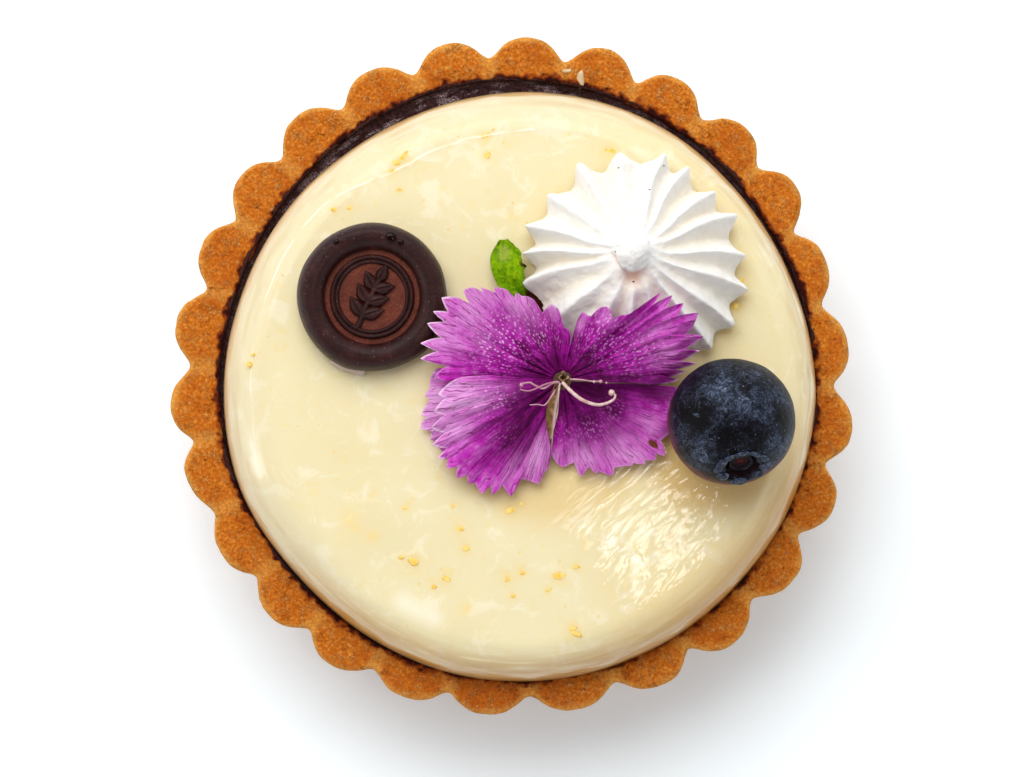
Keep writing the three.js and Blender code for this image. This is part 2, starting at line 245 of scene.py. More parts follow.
def ring_parts(grid, start):
    """The points and faces of a closed body from rings of points, with its two ends drawn to a point."""
    count, sides = grid.shape[:2]
    points = np.concatenate([grid.reshape(-1, 3), grid[:1].mean(1), grid[-1:].mean(1)])
    here = np.arange(sides)
    after = (here + 1) % sides
    last = (count - 1) * sides
    low_end = np.stack([np.full(sides, count * sides), after, here], -1)
    high_end = np.stack([np.full(sides, count * sides + 1), last + here, last + after], -1)
    return points, [grid_faces(count, sides, True) + start, low_end + start, high_end + start]


def ring_field(values, grid):
    values = np.broadcast_to(values, grid.shape[:2])
    return np.concatenate([values.ravel(), values[:1].mean(1), values[-1:].mean(1)])


def joined_piece(name, grids, finish, replaced=(), fields=None):
    """One piece from several ring bodies. Each field has a value or an array for every body."""
    points, faces, count = [], [], 0
    for grid in grids:
        own_points, own_faces = ring_parts(grid, count)
        points.append(own_points)
        faces += own_faces
        count += len(own_points)
    named = {
        field: np.concatenate([ring_field(values, grid) for values, grid in zip(bodies, grids)])
        for field, bodies in (fields or {}).items()
    }
    build(name, np.concatenate(points), faces, finish, replaced, named)


def ring_piece(name, grid, finish, replaced, fields):
    fields = {field: [values] for field, values in fields.items()}
    joined_piece(name, [grid], finish, [replaced], fields)


def sheet_piece(name, place, lift, finish, replaced=(), fields=None):
    """A closed sheet, lift above and below a grid of points."""
    top, under = (side.reshape(-1, 3) for side in (place + lift, place - lift))
    rows, columns = place.shape[:2]
    count = rows * columns
    upper = grid_faces(rows, columns, False)
    index = np.arange(count).reshape(rows, columns)
    rim = np.concatenate([index[0], index[1:, -1], index[-1, -2::-1], index[-2:0:-1, 0]])
    after = np.roll(rim, -1)
    faces = [upper, upper[:, ::-1] + count, np.stack([rim, rim + count, after + count, after], -1)]
    named = {
        field: np.tile(np.broadcast_to(values, (rows, columns)).ravel(), 2)
        for field, values in (fields or {}).items()
    }
    build(name, np.concatenate([top, under]), faces, finish, replaced, named)


def smooth_line(points, steps):
    """A smooth line through points, and its direction all along."""
    line = np.stack([between(column, np.linspace(0, 1, steps)) for column in zip(*points)], -1)
    along = np.gradient(line, axis=0)
    return line, along / np.linalg.norm(along, axis=-1, keepdims=True)


def rod_grid(points, radii, steps, sides=10):
    """Rings around a smooth line, with the radii given from its start to its end."""
    line, along = smooth_line(points, steps)
    side = np.cross(along, [0, 0, 1.0])
    side /= np.linalg.norm(side, axis=-1, keepdims=True)
    up = np.cross(side, along)
    radius = between(radii, np.linspace(0, 1, steps))[:, None, None]
    angle = ring_angles(sides)[None, :, None]
    return line[:, None] + radius * (np.cos(angle) * side[:, None] + np.sin(angle) * up[:, None])


def lump_grid(centre, size, seed, rough, sides, count):
    """Rings of a small uneven body of the given three sizes."""
    rise = np.linspace(-1, 1, count + 2)[1:-1, None] * RIGHT_ANGLE
    ball = turned(np.cos(rise), ring_angles(sides), np.sin(rise))
    ball = ball * (1 + rough * noise(ball + seed * 3.7, 0.9, seed))[..., None]
    return ball * (np.asarray(size) / 2) + centre


# ---------------------------------------------------------------- materials


def rgb(red, green, blue):
    """A colour for a shader from 0 to 255 screen values."""
    shares = (value / 255 for value in (red, green, blue))
    return (*(s / 12.92 if s <= 0.04045 else ((s + 0.055) / 1.055) ** 2.4 for s in shares), 1.0)


class Finish:
    """A procedural material around one Principled shader, laid one colour over another.

    Sizes are in millimetres, or in the units of place. A mask is a value or the name of a field.
    """

    def __init__(self, name, **values):
        self.material = bpy.data.materials.new(name)
        self.material.use_nodes = True
        self.tree = self.material.node_tree
        self.shader = self.tree.nodes["Principled BSDF"]
        for socket, value in values.items():
            self.shader.inputs[socket.replace("_", " ")].default_value = value
        self.place = self.node("ShaderNodeTexCoord").outputs["Object"]
        self.colour = None

    def node(self, kind, inputs=None, **settings):
        node = self.tree.nodes.new(kind)
        for setting, value in settings.items():
            setattr(node, setting, value)
        for socket, value in (inputs or {}).items():
            self.put(node.inputs[socket], value)
        return node

    def put(self, socket, value):
        if isinstance(value, bpy.types.NodeSocket):
            self.tree.links.new(value, socket)
        else:
            socket.default_value = value

    def noise(self, size, detail=3, roughness=0.55, distortion=0.0, place=None):
        inputs = {
            "Vector": place or self.place,
            "Scale": 1 / size if place else 1 / (size * MM),
            "Detail": detail,
            "Roughness": roughness,
            "Distortion": distortion,
        }
        return self.node("ShaderNodeTexNoise", inputs).outputs["Fac"]

    def field(self, name):
        return self.node("ShaderNodeAttribute", attribute_name=name).outputs["Fac"]

    def math(self, operation, a, b=0.0):
        return self.node("ShaderNodeMath", {0: a, 1: b}, operation=operation).outputs[0]

    def times(self, a, b):
        return self.math("MULTIPLY", a, b)

    def plus(self, a, b, share=1):
        return self.math("ADD", a, b if share == 1 else self.times(b, share))

    def band(self, value, low, high, start=0.0, end=1.0):
        """start below low, end above high and smooth between."""
        inputs = {"Value": value, "From Min": low, "From Max": high, "To Min": start, "To Max": end}
        return self.node("ShaderNodeMapRange", inputs, interpolation_type="SMOOTHSTEP").outputs["Result"]

    def patches(self, low, high, *noise):
        """Patches where a noise is above low, full from high on."""
        return self.band(self.noise(*noise), low, high)

    def dots(self, size, edge, core):
        """Scattered round dots, as shares of the size of their cells."""
        inputs = {"Vector": self.place, "Scale": 1 / (size * MM)}
        return self.band(self.node("ShaderNodeTexVoronoi", inputs).outputs["Distance"], edge, core)

    def lines(self, value, edge, core):
        """Thin lines where a value crosses one half."""
        return self.band(self.math("ABSOLUTE", self.math("SUBTRACT", value, 0.5)), edge, core)

    def ramp(self, value, *stops):
        """Colours between stops of [position, red, green, blue]."""
        node = self.node("ShaderNodeValToRGB", {"Fac": value})
        elements = node.color_ramp.elements
        while len(elements) < len(stops):
            elements.new(0.5)
        for element, (position, *colour) in zip(elements, stops):
            element.position = position
            element.color = rgb(*colour)
        return node.outputs["Color"]

    def mix(self, mask, under, over):
        mask = self.field(mask) if isinstance(mask, str) else mask
        under, over = (rgb(*colour) if isinstance(colour, tuple) else colour for colour in (under, over))
        return self.node("ShaderNodeMix", {"Factor": mask, 6: under, 7: over}, data_type="RGBA").outputs[2]

    def lay(self, mask, colour, share=1):
        """Lays a colour over what is there, as far as the mask goes and as thick as share."""
        mask = self.field(mask) if isinstance(mask, str) else mask
        self.colour = self.mix(mask if share == 1 else self.times(mask, share), self.colour, colour)

    def combine(self, x, y):
        return self.node("ShaderNodeCombineXYZ", {"X": x, "Y": y}).outputs[0]

    def bump(self, height, distance, socket="Normal"):
        relief = self.node("ShaderNodeBump", {"Height": height, "Distance": distance * MM, "Strength": 1.0})
        self.put(self.shader.inputs[socket], relief.outputs["Normal"])

    def done(self, relief=None, depth=0.0):
        """The material, with the colour laid so far and a relief as deep as depth."""
        self.put(self.shader.inputs["Base Color"], self.colour)
        if relief:
            self.bump(relief, depth)
        return self.material


def crust_finish():
    finish = Finish("baked_crust", Roughness=0.8, Specular_IOR_Level=0.12)
    grain = finish.noise(0.38, 4, 0.6)
    golden = finish.ramp(grain, (0.3, 210, 132, 42), (0.7, 236, 180, 92))
    deep = finish.ramp(grain, (0.3, 156, 70, 11), (0.7, 202, 108, 30))
    stops = (0.32, 168, 84, 16), (0.46, 188, 101, 24), (0.57, 204, 117, 33), (0.74, 230, 160, 74)
    finish.colour = finish.ramp(grain, *stops)
    finish.lay(finish.band(finish.noise(3.0, 4, 0.6), 0.46, 0.66, 0.0, 0.8), deep)
    # Painted shade on the front of the rim, where the cream's shadow falls, and darker random patches
    finish.lay("front_shade_and_tone", deep)
    finish.lay("pale", golden, 0.7)
    worms = finish.lines(finish.noise(0.6, 2, 0.5, 1.8), 0.03, 0.01)
    worms = finish.times(worms, finish.patches(0.5, 0.6, 1.2, 2))
    finish.lay(worms, (248, 204, 128), 0.6)
    cracks = finish.lines(finish.noise(1.1, 3, 0.6, 1.2), 0.025, 0.008)
    cracks = finish.times(cracks, finish.patches(0.56, 0.64, 1.9, 2))
    finish.lay(cracks, (124, 54, 10), 0.5)
    finish.lay(finish.dots(2.6, 0.075, 0.04), (104, 46, 12), 0.7)
    stain = finish.plus(finish.field("stain"), grain, 0.5)
    finish.lay(finish.band(stain, 0.42, 0.98), (128, 52, 12))
    finish.lay(finish.band(stain, 0.86, 1.18), (52, 16, 12))
    relief = finish.plus(finish.noise(0.3, 4, 0.65), worms, 0.3)
    return finish.done(finish.plus(relief, cracks, -0.4), 0.2)


def compote_finish():
    finish = Finish("compote", Roughness=0.2, Specular_IOR_Level=0.4)
    pulp = finish.noise(0.5, 5, 0.7)
    finish.colour = finish.ramp(pulp, (0.32, 18, 4, 7), (0.5, 44, 15, 18), (0.66, 72, 34, 38))
    # Painted sheen and glints: pale patches and thin bright lines where the window would shine on the compote
    painted_shine = finish.field("painted_shine")
    finish.lay(finish.times(painted_shine, finish.patches(0.46, 0.66, 0.45, 3, 0.6)), (112, 82, 90), 0.35)
    glints = finish.lines(finish.noise(0.36, 3, 0.6, 1.5), 0.032, 0.01)
    finish.lay(finish.times(glints, painted_shine), (216, 192, 198))
    finish.lay("thin", (64, 20, 12))
    return finish.done(finish.noise(0.4, 4, 0.7), 0.4)


def cream_finish():
    soft = dict(Subsurface_Weight=0.4, Subsurface_Radius=(1.0, 0.75, 0.45), Subsurface_Scale=0.003)
    glaze = dict(Coat_Weight=0.8, Coat_Roughness=0.03, Coat_IOR=1.45)
    finish = Finish("lemon_cream", Roughness=0.38, **soft, **glaze)
    finish.colour = finish.ramp(finish.noise(16, 2), (0.35, 233, 219, 174), (0.65, 236, 225, 185))
    finish.lay(finish.patches(0.56, 0.72, 1.6, 3, 0.6), (238, 214, 144), 0.4)
    # Pale whitish wavy patches: partly paler swirls in the cream, partly painted sheen of the glaze
    finish.lay(finish.patches(0.52, 0.66, 3.5, 4, 0.65, 0.8), (248, 243, 224), 0.4)
    finish.lay(finish.dots(3.0, 0.10, 0.05), (236, 206, 122), 0.5)
    finish.lay("zest", (244, 212, 112))
    # Painted warm shade around the toppings
    finish.lay("warm_shade", (224, 188, 114))
    # Painted shade that dims the rounded edge where it faces the window
    finish.lay("shoulder_shade", (214, 203, 172))
    # Painted shade towards the cream's foot, browner at the front
    finish.lay("foot", finish.mix("front", (190, 152, 92), (186, 132, 44)))
    # Painted highlight: white along the glaze's ridge and at two soft spots
    finish.lay("highlight_line", (255, 254, 246), 0.85)
    drawn = {"Vector": finish.place, "Rotation": (0.0, 0.0, 0.65), "Scale": (3.6 * MM, 1.2 * MM, 3.6 * MM)}
    drawn = finish.node("ShaderNodeMapping", drawn, vector_type="TEXTURE").outputs[0]
    ripple = finish.times(finish.noise(1, 2, 0.35, 1.0, place=drawn), finish.field("ripple"))
    finish.bump(ripple, 0.10, "Coat Normal")
    return finish.done(finish.noise(3.5, 2), 0.06)


def chocolate_finish():
    gloss = dict(Specular_IOR_Level=0.25, Coat_Weight=0.2, Coat_Roughness=0.25, Coat_IOR=1.45)
    finish = Finish("dark_chocolate", Roughness=0.42, **gloss)
    cloud = finish.noise(1.8, 4, 0.6)
    finish.colour = finish.ramp(cloud, (0.35, 36, 10, 9), (0.6, 48, 17, 15), (0.75, 68, 36, 34))
    finish.lay("floor", finish.ramp(cloud, (0.35, 84, 33, 20), (0.65, 106, 46, 28)))
    finish.lay("foot", (118, 58, 36))
    finish.lay(finish.dots(0.8, 0.13, 0.06), (122, 96, 94), 0.55)
    return finish.done(finish.plus(finish.noise(0.4, 3, 0.6), finish.dots(0.9, 0.16, 0.05), -0.5), 0.13)


def meringue_finish():
    soft = dict(Subsurface_Weight=0.25, Subsurface_Radius=(1.0, 0.8, 0.6), Subsurface_Scale=0.0008)
    finish = Finish("meringue", Roughness=0.7, Specular_IOR_Level=0.15, **soft)
    finish.colour = finish.ramp(finish.noise(2.5, 3), (0.35, 233, 231, 228), (0.65, 238, 237, 235))
    # Painted shade: beige in the valleys between the ridges, and darker in the hollow under the peak
    finish.lay("valley", (236, 226, 208))
    finish.lay("dimple_shade", (226, 190, 168))
    return finish.done(finish.plus(finish.noise(0.6, 4), finish.dots(0.55, 0.12, 0.03), -0.25), 0.11)


def berry_finish():
    finish = Finish("blueberry_skin", Roughness=0.42, Specular_IOR_Level=0.1)
    bloom_and_sheen = finish.times(finish.noise(1.5, 7, 0.72, 1.1), 0.55)
    # Bloom, with a painted highlight at the upper left and only on the upper half
    bloom_and_sheen = finish.plus(finish.plus(bloom_and_sheen, finish.noise(0.25, 4, 0.75), 0.45), finish.field("bloom_and_sheen"))
    rubbed = (0.42, 8, 7, 11), (0.48, 22, 23, 32), (0.54, 42, 48, 63)
    finish.colour = finish.ramp(bloom_and_sheen, *rubbed, (0.61, 70, 81, 102), (0.70, 120, 133, 154))
    finish.lay(finish.dots(1.2, 0.075, 0.045), (140, 152, 172), 0.6)
    scratch = finish.lines(finish.noise(1.5, 2, 0.5, 1.2), 0.018, 0.006)
    finish.lay(finish.times(scratch, finish.patches(0.5, 0.6, 3.0, 2)), (100, 112, 136), 0.35)
    # Reddish lower front rim: partly ripe skin, partly painted reflection of the cream
    finish.lay("ripe_and_reflected_cream", (112, 62, 66))
    finish.lay("core", (96, 26, 14))
    finish.lay("hollow", (42, 26, 30))
    return finish.done(finish.noise(0.6, 5, 0.65), 0.12)


def crown_finish():
    finish = Finish("blueberry_crown", Roughness=0.5, Specular_IOR_Level=0.2)
    stops = (0.36, 18, 16, 24), (0.5, 44, 52, 70), (0.62, 82, 96, 122), (0.76, 128, 138, 160)
    finish.colour = finish.ramp(finish.noise(0.5, 4, 0.7), *stops)
    return finish.done(finish.noise(0.4, 4, 0.6), 0.12)


def petal_finish():
    soft = dict(Subsurface_Weight=0.12, Subsurface_Radius=(1.0, 0.4, 0.9), Subsurface_Scale=0.0005)
    finish = Finish("dianthus_petal", Roughness=0.6, Specular_IOR_Level=0.12, **soft)
    # reach is in millimetres from the calyx, and veins counts across the petal, one to 2 degrees.
    reach, veins = finish.field("reach"), finish.field("veins")

    def drawn_out(across, along):
        return finish.combine(finish.times(veins, across), finish.times(reach, along))

    streak = finish.noise(1, 3, 0.6, place=drawn_out(1, 0.22))
    fine = finish.noise(1, 2, 0.5, place=drawn_out(2.2, 0.4))
    zone = finish.plus(finish.band(finish.noise(1.5, 4, 0.65), 0.3, 0.7, -0.3, 0.3), reach, 1 / 19)
    zone = finish.plus(zone, finish.band(streak, 0.3, 0.7, -0.16, 0.16))
    inner = (0.05, 118, 8, 100), (0.22, 152, 15, 138), (0.45, 178, 26, 166)
    finish.colour = finish.ramp(zone, *inner, (0.72, 190, 60, 180), (1.0, 204, 102, 196))
    finish.lay("light", (220, 156, 215))
    # Dark zones of the petal, with painted shade along its folds and where other parts shade it
    finish.lay(finish.times(finish.field("shade"), finish.band(streak, 0.35, 0.65, 0.72, 1.0)), (68, 4, 54))
    finish.lay(finish.band(fine, 0.5, 0.68, 0.0, 0.4), (146, 18, 132))
    wander = finish.plus(finish.times(veins, 0.5), finish.noise(3.0, 2), 2.4)
    vein = finish.lines(finish.math("FRACT", wander), 0.10, 0.03)
    vein = finish.times(vein, finish.patches(0.44, 0.56, 1.3, 2))
    finish.lay(finish.times(vein, finish.band(reach, 4.0, 9.0, 0.1, 0.75)), (116, 10, 100))
    cells = {"Vector": drawn_out(0.72, 1 / 0.66), "Scale": 1.0}
    cells = finish.node("ShaderNodeTexVoronoi", cells, voronoi_dimensions="2D").outputs["Distance"]
    dots = finish.plus(cells, finish.band(finish.noise(0.7, 2), 0.35, 0.65, 0.14, -0.06))
    dots = finish.times(finish.band(dots, 0.31, 0.18), finish.field("dotted"))
    finish.lay(dots, (236, 172, 234))
    finish.lay(finish.dots(1.7, 0.11, 0.06), (104, 8, 92), 0.7)
    finish.lay("edge", (242, 210, 238))
    finish.lay("brown", (104, 56, 30))
    return finish.done(finish.plus(finish.plus(streak, fine), dots, 0.25), 0.25)


def style_finish():
    finish = Finish("style", Roughness=0.45, Specular_IOR_Level=0.3)
    finish.colour = finish.ramp(finish.noise(0.9, 3), (0.35, 186, 138, 140), (0.65, 224, 200, 190))
    finish.lay("rosy", (178, 112, 142))
    return finish.done()


def calyx_finish():
    finish = Finish("calyx", Roughness=0.6, Specular_IOR_Level=0.2)
    stops = (0.3, 96, 62, 34), (0.5, 150, 114, 68), (0.7, 182, 150, 98)
    finish.colour = finish.ramp(finish.noise(0.8, 3), *stops)
    finish.lay("pale", (224, 196, 196))
    return finish.done(finish.noise(0.4, 3), 0.05)


def leaf_finish():
    finish = Finish("leaf", Roughness=0.55, Specular_IOR_Level=0.06)
    stops = (0.34, 64, 106, 0), (0.5, 110, 152, 2), (0.68, 148, 180, 6)
    finish.colour = finish.ramp(finish.noise(0.9, 5, 0.7), *stops)
    # Painted shade: darker green where the leaf runs under the petals
    finish.lay("shaded_tail", (78, 120, 2))
    finish.lay(finish.patches(0.56, 0.64, 0.4, 3, 0.6), (150, 182, 6), 0.55)
    finish.lay("bleached", (170, 178, 82))
    finish.lay("brown", (52, 24, 12))
    return finish.done(finish.noise(0.45, 4), 0.16)


def zest_finish():
    finish = Finish("lemon_zest", Roughness=0.65, Specular_IOR_Level=0.2)
    finish.colour = finish.ramp(finish.noise(0.5, 2), (0.35, 242, 188, 66), (0.6, 246, 216, 128))
    return finish.done()


def plain_finish(name, colour, roughness, size=0.6, **values):
    """A finish of one colour, a little darker from place to place."""
    finish = Finish(name, Roughness=roughness, **values)
    shade = finish.band(finish.noise(size, 3), 0.3, 0.7)
    shade.node.interpolation_type = "LINEAR"
    full = rgb(*colour)
    finish.colour = finish.mix(shade, [0.75 * value for value in full[:3]] + [1.0], list(full))
    return finish.done()


# ---------------------------------------------------------------- case

# [bearing in degrees, radius of the crest, radius of the notch after it] of each scallop.
SCALLOPS = (
    (6, 42.0, 39.7), (20.5, 41.8, 39.6), (34.5, 42.9, 40.6), (47, 43.0, 40.3), (61, 43.1, 40.3),
    (74, 43.1, 40.4), (87.5, 43.0, 40.5), (101, 42.9, 40.2), (115, 42.7, 40.2), (129.5, 42.8, 40.2),
    (143.5, 42.6, 40.0), (157, 42.3, 39.9), (170.5, 42.6, 40.4), (185, 42.7, 40.5), (197.5, 42.4, 40.8),
    (211, 42.3, 40.4), (224.5, 42.3, 40.2), (237.5, 42.0, 40.0), (251.5, 41.7, 39.8), (265, 41.9, 39.6),
    (281, 41.9, 39.8), (296, 42.3, 40.0), (310, 42.8, 40.5), (324.5, 42.9, 40.5), (338, 43.1, 40.4),
    (351.5, 42.7, 40.0),
)
# The opening's radius at evenly spaced bearings.
OPENING = (
    37.5, 37.3, 37.2, 37.3, 37.4, 37.4, 37.45, 37.3, 36.7, 36.35, 36.1, 36.15, 36.55, 36.65, 36.5, 36.5, 36.8,
    37.0, 37.2, 37.3, 37.4, 37.5, 37.6, 37.6,
)
NOTCH_ROUNDING = 0.09  # as a share of one scallop
LOBE_FULLNESS = 2.6
NOTCH_RADIUS = 40.1
BASE_NOTCH_RADIUS = 34.6
BASE_SCALLOP_DEPTH = 1.9
BASE_ROUNDING = 0.9
FLOOR_RADIUS = 33.0
RIM_ROUNDING = 0.8
INNER_ROUNDING = 0.55
SHADED_BEARING = 268  # where the case is painted darkest: painted shade where the cream's shadow falls on the front rim


def lobe(phase):
    """How far a scallop stands out, from 0 in its notch to 1 at its crest, for phase counted in scallops."""
    gap = 0.5 - np.abs(phase - np.round(phase))
    from_notch = np.hypot(gap, NOTCH_ROUNDING) - NOTCH_ROUNDING
    return 1 - (1 - from_notch / (math.hypot(0.5, NOTCH_ROUNDING) - NOTCH_ROUNDING)) ** LOBE_FULLNESS


def opening(angle):
    return looped(OPENING, angle / TURN)


def rim_edge(inset):
    """The case's height at a distance out from its opening."""
    turn = np.clip(inset / INNER_ROUNDING, 0, 1)
    return RIM_TOP - INNER_ROUNDING * (1 - np.sqrt(1 - (1 - turn) ** 2))


def case_profile(base, rim, inner):
    """The case's rings from under its middle over the rim to its floor, and where the inside starts."""
    profile = [(base * share, 0.0) for share in (0.25, 0.5, 0.75, 0.9, 1.0)]
    for turn in np.linspace(0.2, 1, 4) * RIGHT_ANGLE:
        profile.append((base + BASE_ROUNDING * math.sin(turn), BASE_ROUNDING * (1 - math.cos(turn))))
    foot, wall_top = base + BASE_ROUNDING, RIM_TOP - RIM_ROUNDING
    for share in np.linspace(0, 1, 26)[1:]:
        bulge = 0.25 * math.sin(math.pi * share)
        height = BASE_ROUNDING + (wall_top - BASE_ROUNDING) * share
        profile.append((foot + (rim - foot) * share + bulge, height))
    for turn in np.linspace(0, 1, 8)[1:] * RIGHT_ANGLE:
        profile.append((rim - RIM_ROUNDING * (1 - math.cos(turn)), wall_top + RIM_ROUNDING * math.sin(turn)))
    start, end = rim - RIM_ROUNDING, inner + INNER_ROUNDING
    for share in np.linspace(0, 1, 32)[1:]:
        profile.append((start + (end - start) * share, RIM_TOP + 0.1 * math.sin(math.pi * share)))
    inside = len(profile)
    for turn in np.linspace(0, 1, 6)[1:] * RIGHT_ANGLE:
        drop = INNER_ROUNDING * (1 - math.cos(turn))
        profile.append((end - INNER_ROUNDING * math.sin(turn), RIM_TOP - drop))
    for height in (17.6, 16.8, 15.5, 12, 8, 4, CASE_FLOOR):
        share = (RIM_TOP - height) / (RIM_TOP - CASE_FLOOR)
        profile.append((inner + (FLOOR_RADIUS - inner) * share, height))
    return profile + [(FLOOR_RADIUS * share, CASE_FLOOR) for share in (0.6, 0.2)], inside


def make_crust(finish):
    steps = 34
    phase = np.arange(len(SCALLOPS) * steps) / steps
    bearings, crests, notches = (np.array(column) for column in zip(*SCALLOPS))
    angle = np.radians(np.interp(phase, np.arange(len(bearings) + 1), np.append(bearings, bearings[0] + 360)))
    out = lobe(phase)
    notch = looped(notches, (phase - 0.5) / len(notches))
    rim = notch + (looped(crests, phase / len(crests)) - notch) * out
    inner = opening(angle)
    base = BASE_NOTCH_RADIUS + BASE_SCALLOP_DEPTH * out + 0.5 * (notch - NOTCH_RADIUS)
    profile, inside = case_profile(base, rim, inner)
    radius, height = rings(profile, angle)
    grid = turned(radius, angle, height)
    lift = 0.16 * noise(grid, 9, 4, 2) * ease(14, RIM_TOP, height)
    rough = 0.06 * noise(grid, 1.3, 5, 3) + 0.16 * noise(grid, 6, 6)
    grid = swollen(grid, rough * ease(0.2, 1.2, height))
    grid[..., 2] += lift
    grid[..., :2] += CASE_AXIS

    pale = ease(1.0, 0.0, rim - radius + 0.4 * noise(grid, 1.6, 7))
    pale = pale + 0.6 * ease(0.5, 0, out) * ease(17.6, 18.9, height)
    pale = np.where(height < 17.6, 0.35 + 0.25 * noise(grid, 5, 8), pale)
    near_opening = np.arange(len(radius))[:, None] >= inside - 24
    stain = ease(1.3, -0.1, radius - inner + 0.45 * noise(grid, 1.8, 9) + 0.5 * noise(grid, 0.6, 11, 2))
    # Painted shade: darkest at the front, under the cream's shadow, plus a random darker tone
    front_shade_and_tone = 0.8 * bell((np.degrees(angle) % 360 - SHADED_BEARING) / 17) + 0.3 * noise(grid, 7, 10)
    stain = stain * near_opening * (height > 10)
    fields = {"pale": np.clip(pale, 0, 1), "stain": stain, "front_shade_and_tone": np.clip(front_shade_and_tone, 0, 1)}
    ring_piece("baked_crust", grid, finish, "crust", fields)


def make_compote(finish):
    angle = ring_angles(960)
    degrees = np.degrees(angle)
    outer = opening(angle)
    around = turned(outer, angle, 0.0)
    # How far the juice has crept up over the case's edge.
    crept = 0.42 + 0.6 * noise(around, 2.6, 11, 2) + 0.45 * noise(around, 0.8, 17, 2)
    crept = np.maximum(crept * (1 - 0.75 * window(205, 235, 340, 358, degrees)), 0.05)
    profile = [(3.0, 3.3), (20.0, 3.3), (32.4, 3.3), (outer - 0.5, 16.5), (outer - 0.25, 17.4)]
    for share in np.linspace(1, 0, 9)[:-1]:
        profile.append((outer + share * crept, rim_edge(share * crept) + 0.14 - 0.32 * ease(0.2, 1, share)))
    for gap in np.linspace(0, 4.4, 40):
        profile.append((outer - gap, 17.85 + 0.7 * math.exp(-gap / 0.45)))
    profile += [(radius, 17.6) for radius in (24.0, 12.0, 3.0)]
    radius, height = rings(profile, angle)
    grid = turned(radius, angle, height)
    free = ease(17.5, 17.8, height) * ease(-0.1, -0.5, radius - outer)
    lumps = 0.42 * np.abs(noise(grid, 1.1, 12, 3)) + 0.18 * noise(grid, 0.5, 13, 2)
    grid[..., 2] += lumps * free + 0.06 * noise(grid, 0.6, 14, 2) * (height > 17.5)
    grid[..., :2] += CASE_AXIS
    # Where the sheen and glints are painted: near the cream, strongest at the back, towards the window
    painted_shine = ease(0.05, 0.45, noise(stacked(angle * 26, radius * 2.2, 0), 1, 15, 2))
    painted_shine = painted_shine * ease(1.0, 0.1, np.abs(radius - outer + 1.3) / 1.7)
    toward_window = np.clip(bell((degrees - 108) / 28) + 0.35, 0, 0.9)
    fields = {"thin": 0.8 * ease(-0.2, 0.5, radius - outer), "painted_shine": painted_shine * toward_window * (height > 17)}
    ring_piece("blueberry_compote", grid, finish, "compote", fields)


# ---------------------------------------------------------------- cream

FOOT_RADIUS = 36.45
# How far the foot stands out from a true circle at evenly spaced bearings.
FOOT_WANDER = (
    0.5, -0.1, -0.1, 0.2, 0.24, 0.0, -0.42, -0.1, -0.05, 0.4, 0.7, 0.05, 0.25, 0.58, 0.5, 0.5, 0.42, 0.5,
)
# The cream's edge as [how far inside its foot, share of its height].
CREAM_EDGE = (
    (0.0, 0.03), (0.1, 0.2), (0.28, 0.38), (0.55, 0.54), (1.0, 0.68), (1.7, 0.80), (2.7, 0.89), (3.7, 0.95),
    (4.4, 0.985), (5.2, 0.998), (6.4, 1.0),
)
# Dents and swells in the top: [x, y, reach, rise].
DENTS = (
    (-17.2, -3.8, 2.6, -0.10), (-18.6, -19.5, 4.0, 0.14), (-6.0, -30.5, 3.4, 0.16), (2.5, -31.5, 2.4, -0.06),
    (13.0, -17.0, 7.0, -0.08), (-12.5, -25.0, 5.0, -0.10),
)
# Warm shade painted on the cream around each topping, where it shades the cream: [x, y, reach, falling off
# over, strength].
WARM_SHADES = (
    (BERRY[0] - 1.6, BERRY[1] - 1.8, 6.4, 3.0, 0.85),
    (MERINGUE_AXIS[0] + 0.4, MERINGUE_AXIS[1] - 0.6, 12.6, 1.8, 0.3),
    (FLOWER[0] - 1.6, FLOWER[1] - 2.4, 12.6, 2.4, 0.5),
)
GLOSSY_PLACE = (18.5, -21.5)
# The zest in the glaze: [x, y, length, width, bearing in degrees], from the case's axis.
FLECKS = (
    (-19.9, -17.9, 1.5, 0.5, 125), (-19.1, -18.9, 0.9, 0.4, 140), (-17.1, -19.9, 1.2, 0.45, 130),
    (-13.6, -22.4, 0.8, 0.5, 0), (-12.0, -22.9, 1.5, 0.8, 150), (-13.1, -16.4, 0.6, 0.5, 0),
    (-7.2, -16.2, 0.5, 0.5, 0), (-6.4, -18.9, 1.0, 0.8, 0), (-5.7, -21.3, 0.8, 0.7, 0),
    (-8.2, -25.0, 1.2, 0.6, 150), (-9.6, -26.0, 0.6, 0.5, 0), (-0.6, -25.0, 1.0, 0.7, 20),
    (1.2, -24.3, 0.7, 0.5, 40), (5.7, -24.6, 1.5, 0.8, 0), (7.7, -23.6, 0.9, 0.4, 0),
    (-5.6, -28.7, 0.8, 0.7, 90), (-0.3, -16.7, 1.3, 0.7, 20), (1.0, -15.9, 0.6, 0.5, 0),
    (7.3, -31.0, 1.0, 0.7, 20), (7.6, -31.6, 1.5, 0.6, 150), (4.3, -26.4, 0.9, 0.35, 30),
    (0.0, -27.1, 0.8, 0.35, 0), (-3.3, 29.3, 1.3, 0.8, 10), (-3.2, 26.8, 1.2, 0.8, 60),
    (-13.5, 26.6, 2.0, 0.6, 50), (-14.3, 26.0, 0.9, 0.7, 0), (-14.9, 24.9, 0.8, 0.7, 0),
    (-13.9, 22.6, 0.8, 0.4, 0), (-21.9, 20.2, 0.7, 0.6, 0), (-20.0, 20.4, 0.6, 0.5, 0),
    (11.9, 27.5, 1.6, 0.7, 170), (27.2, 8.4, 1.0, 0.9, 0), (28.0, 11.5, 0.6, 0.5, 0),
    (-32.3, 1.2, 0.7, 0.7, 0), (-31.8, 2.4, 0.5, 0.4, 0),
)


def cream_top(points):
    """The cream's height at places on its flat top: slightly crowned, and a little wavy."""
    crown = 0.35 * (apart(points, *CREAM_AXIS) / 31) ** 4
    return CREAM_TOP - crown + 0.07 * noise(points * (1, 1, 0), 11, 21, 2)


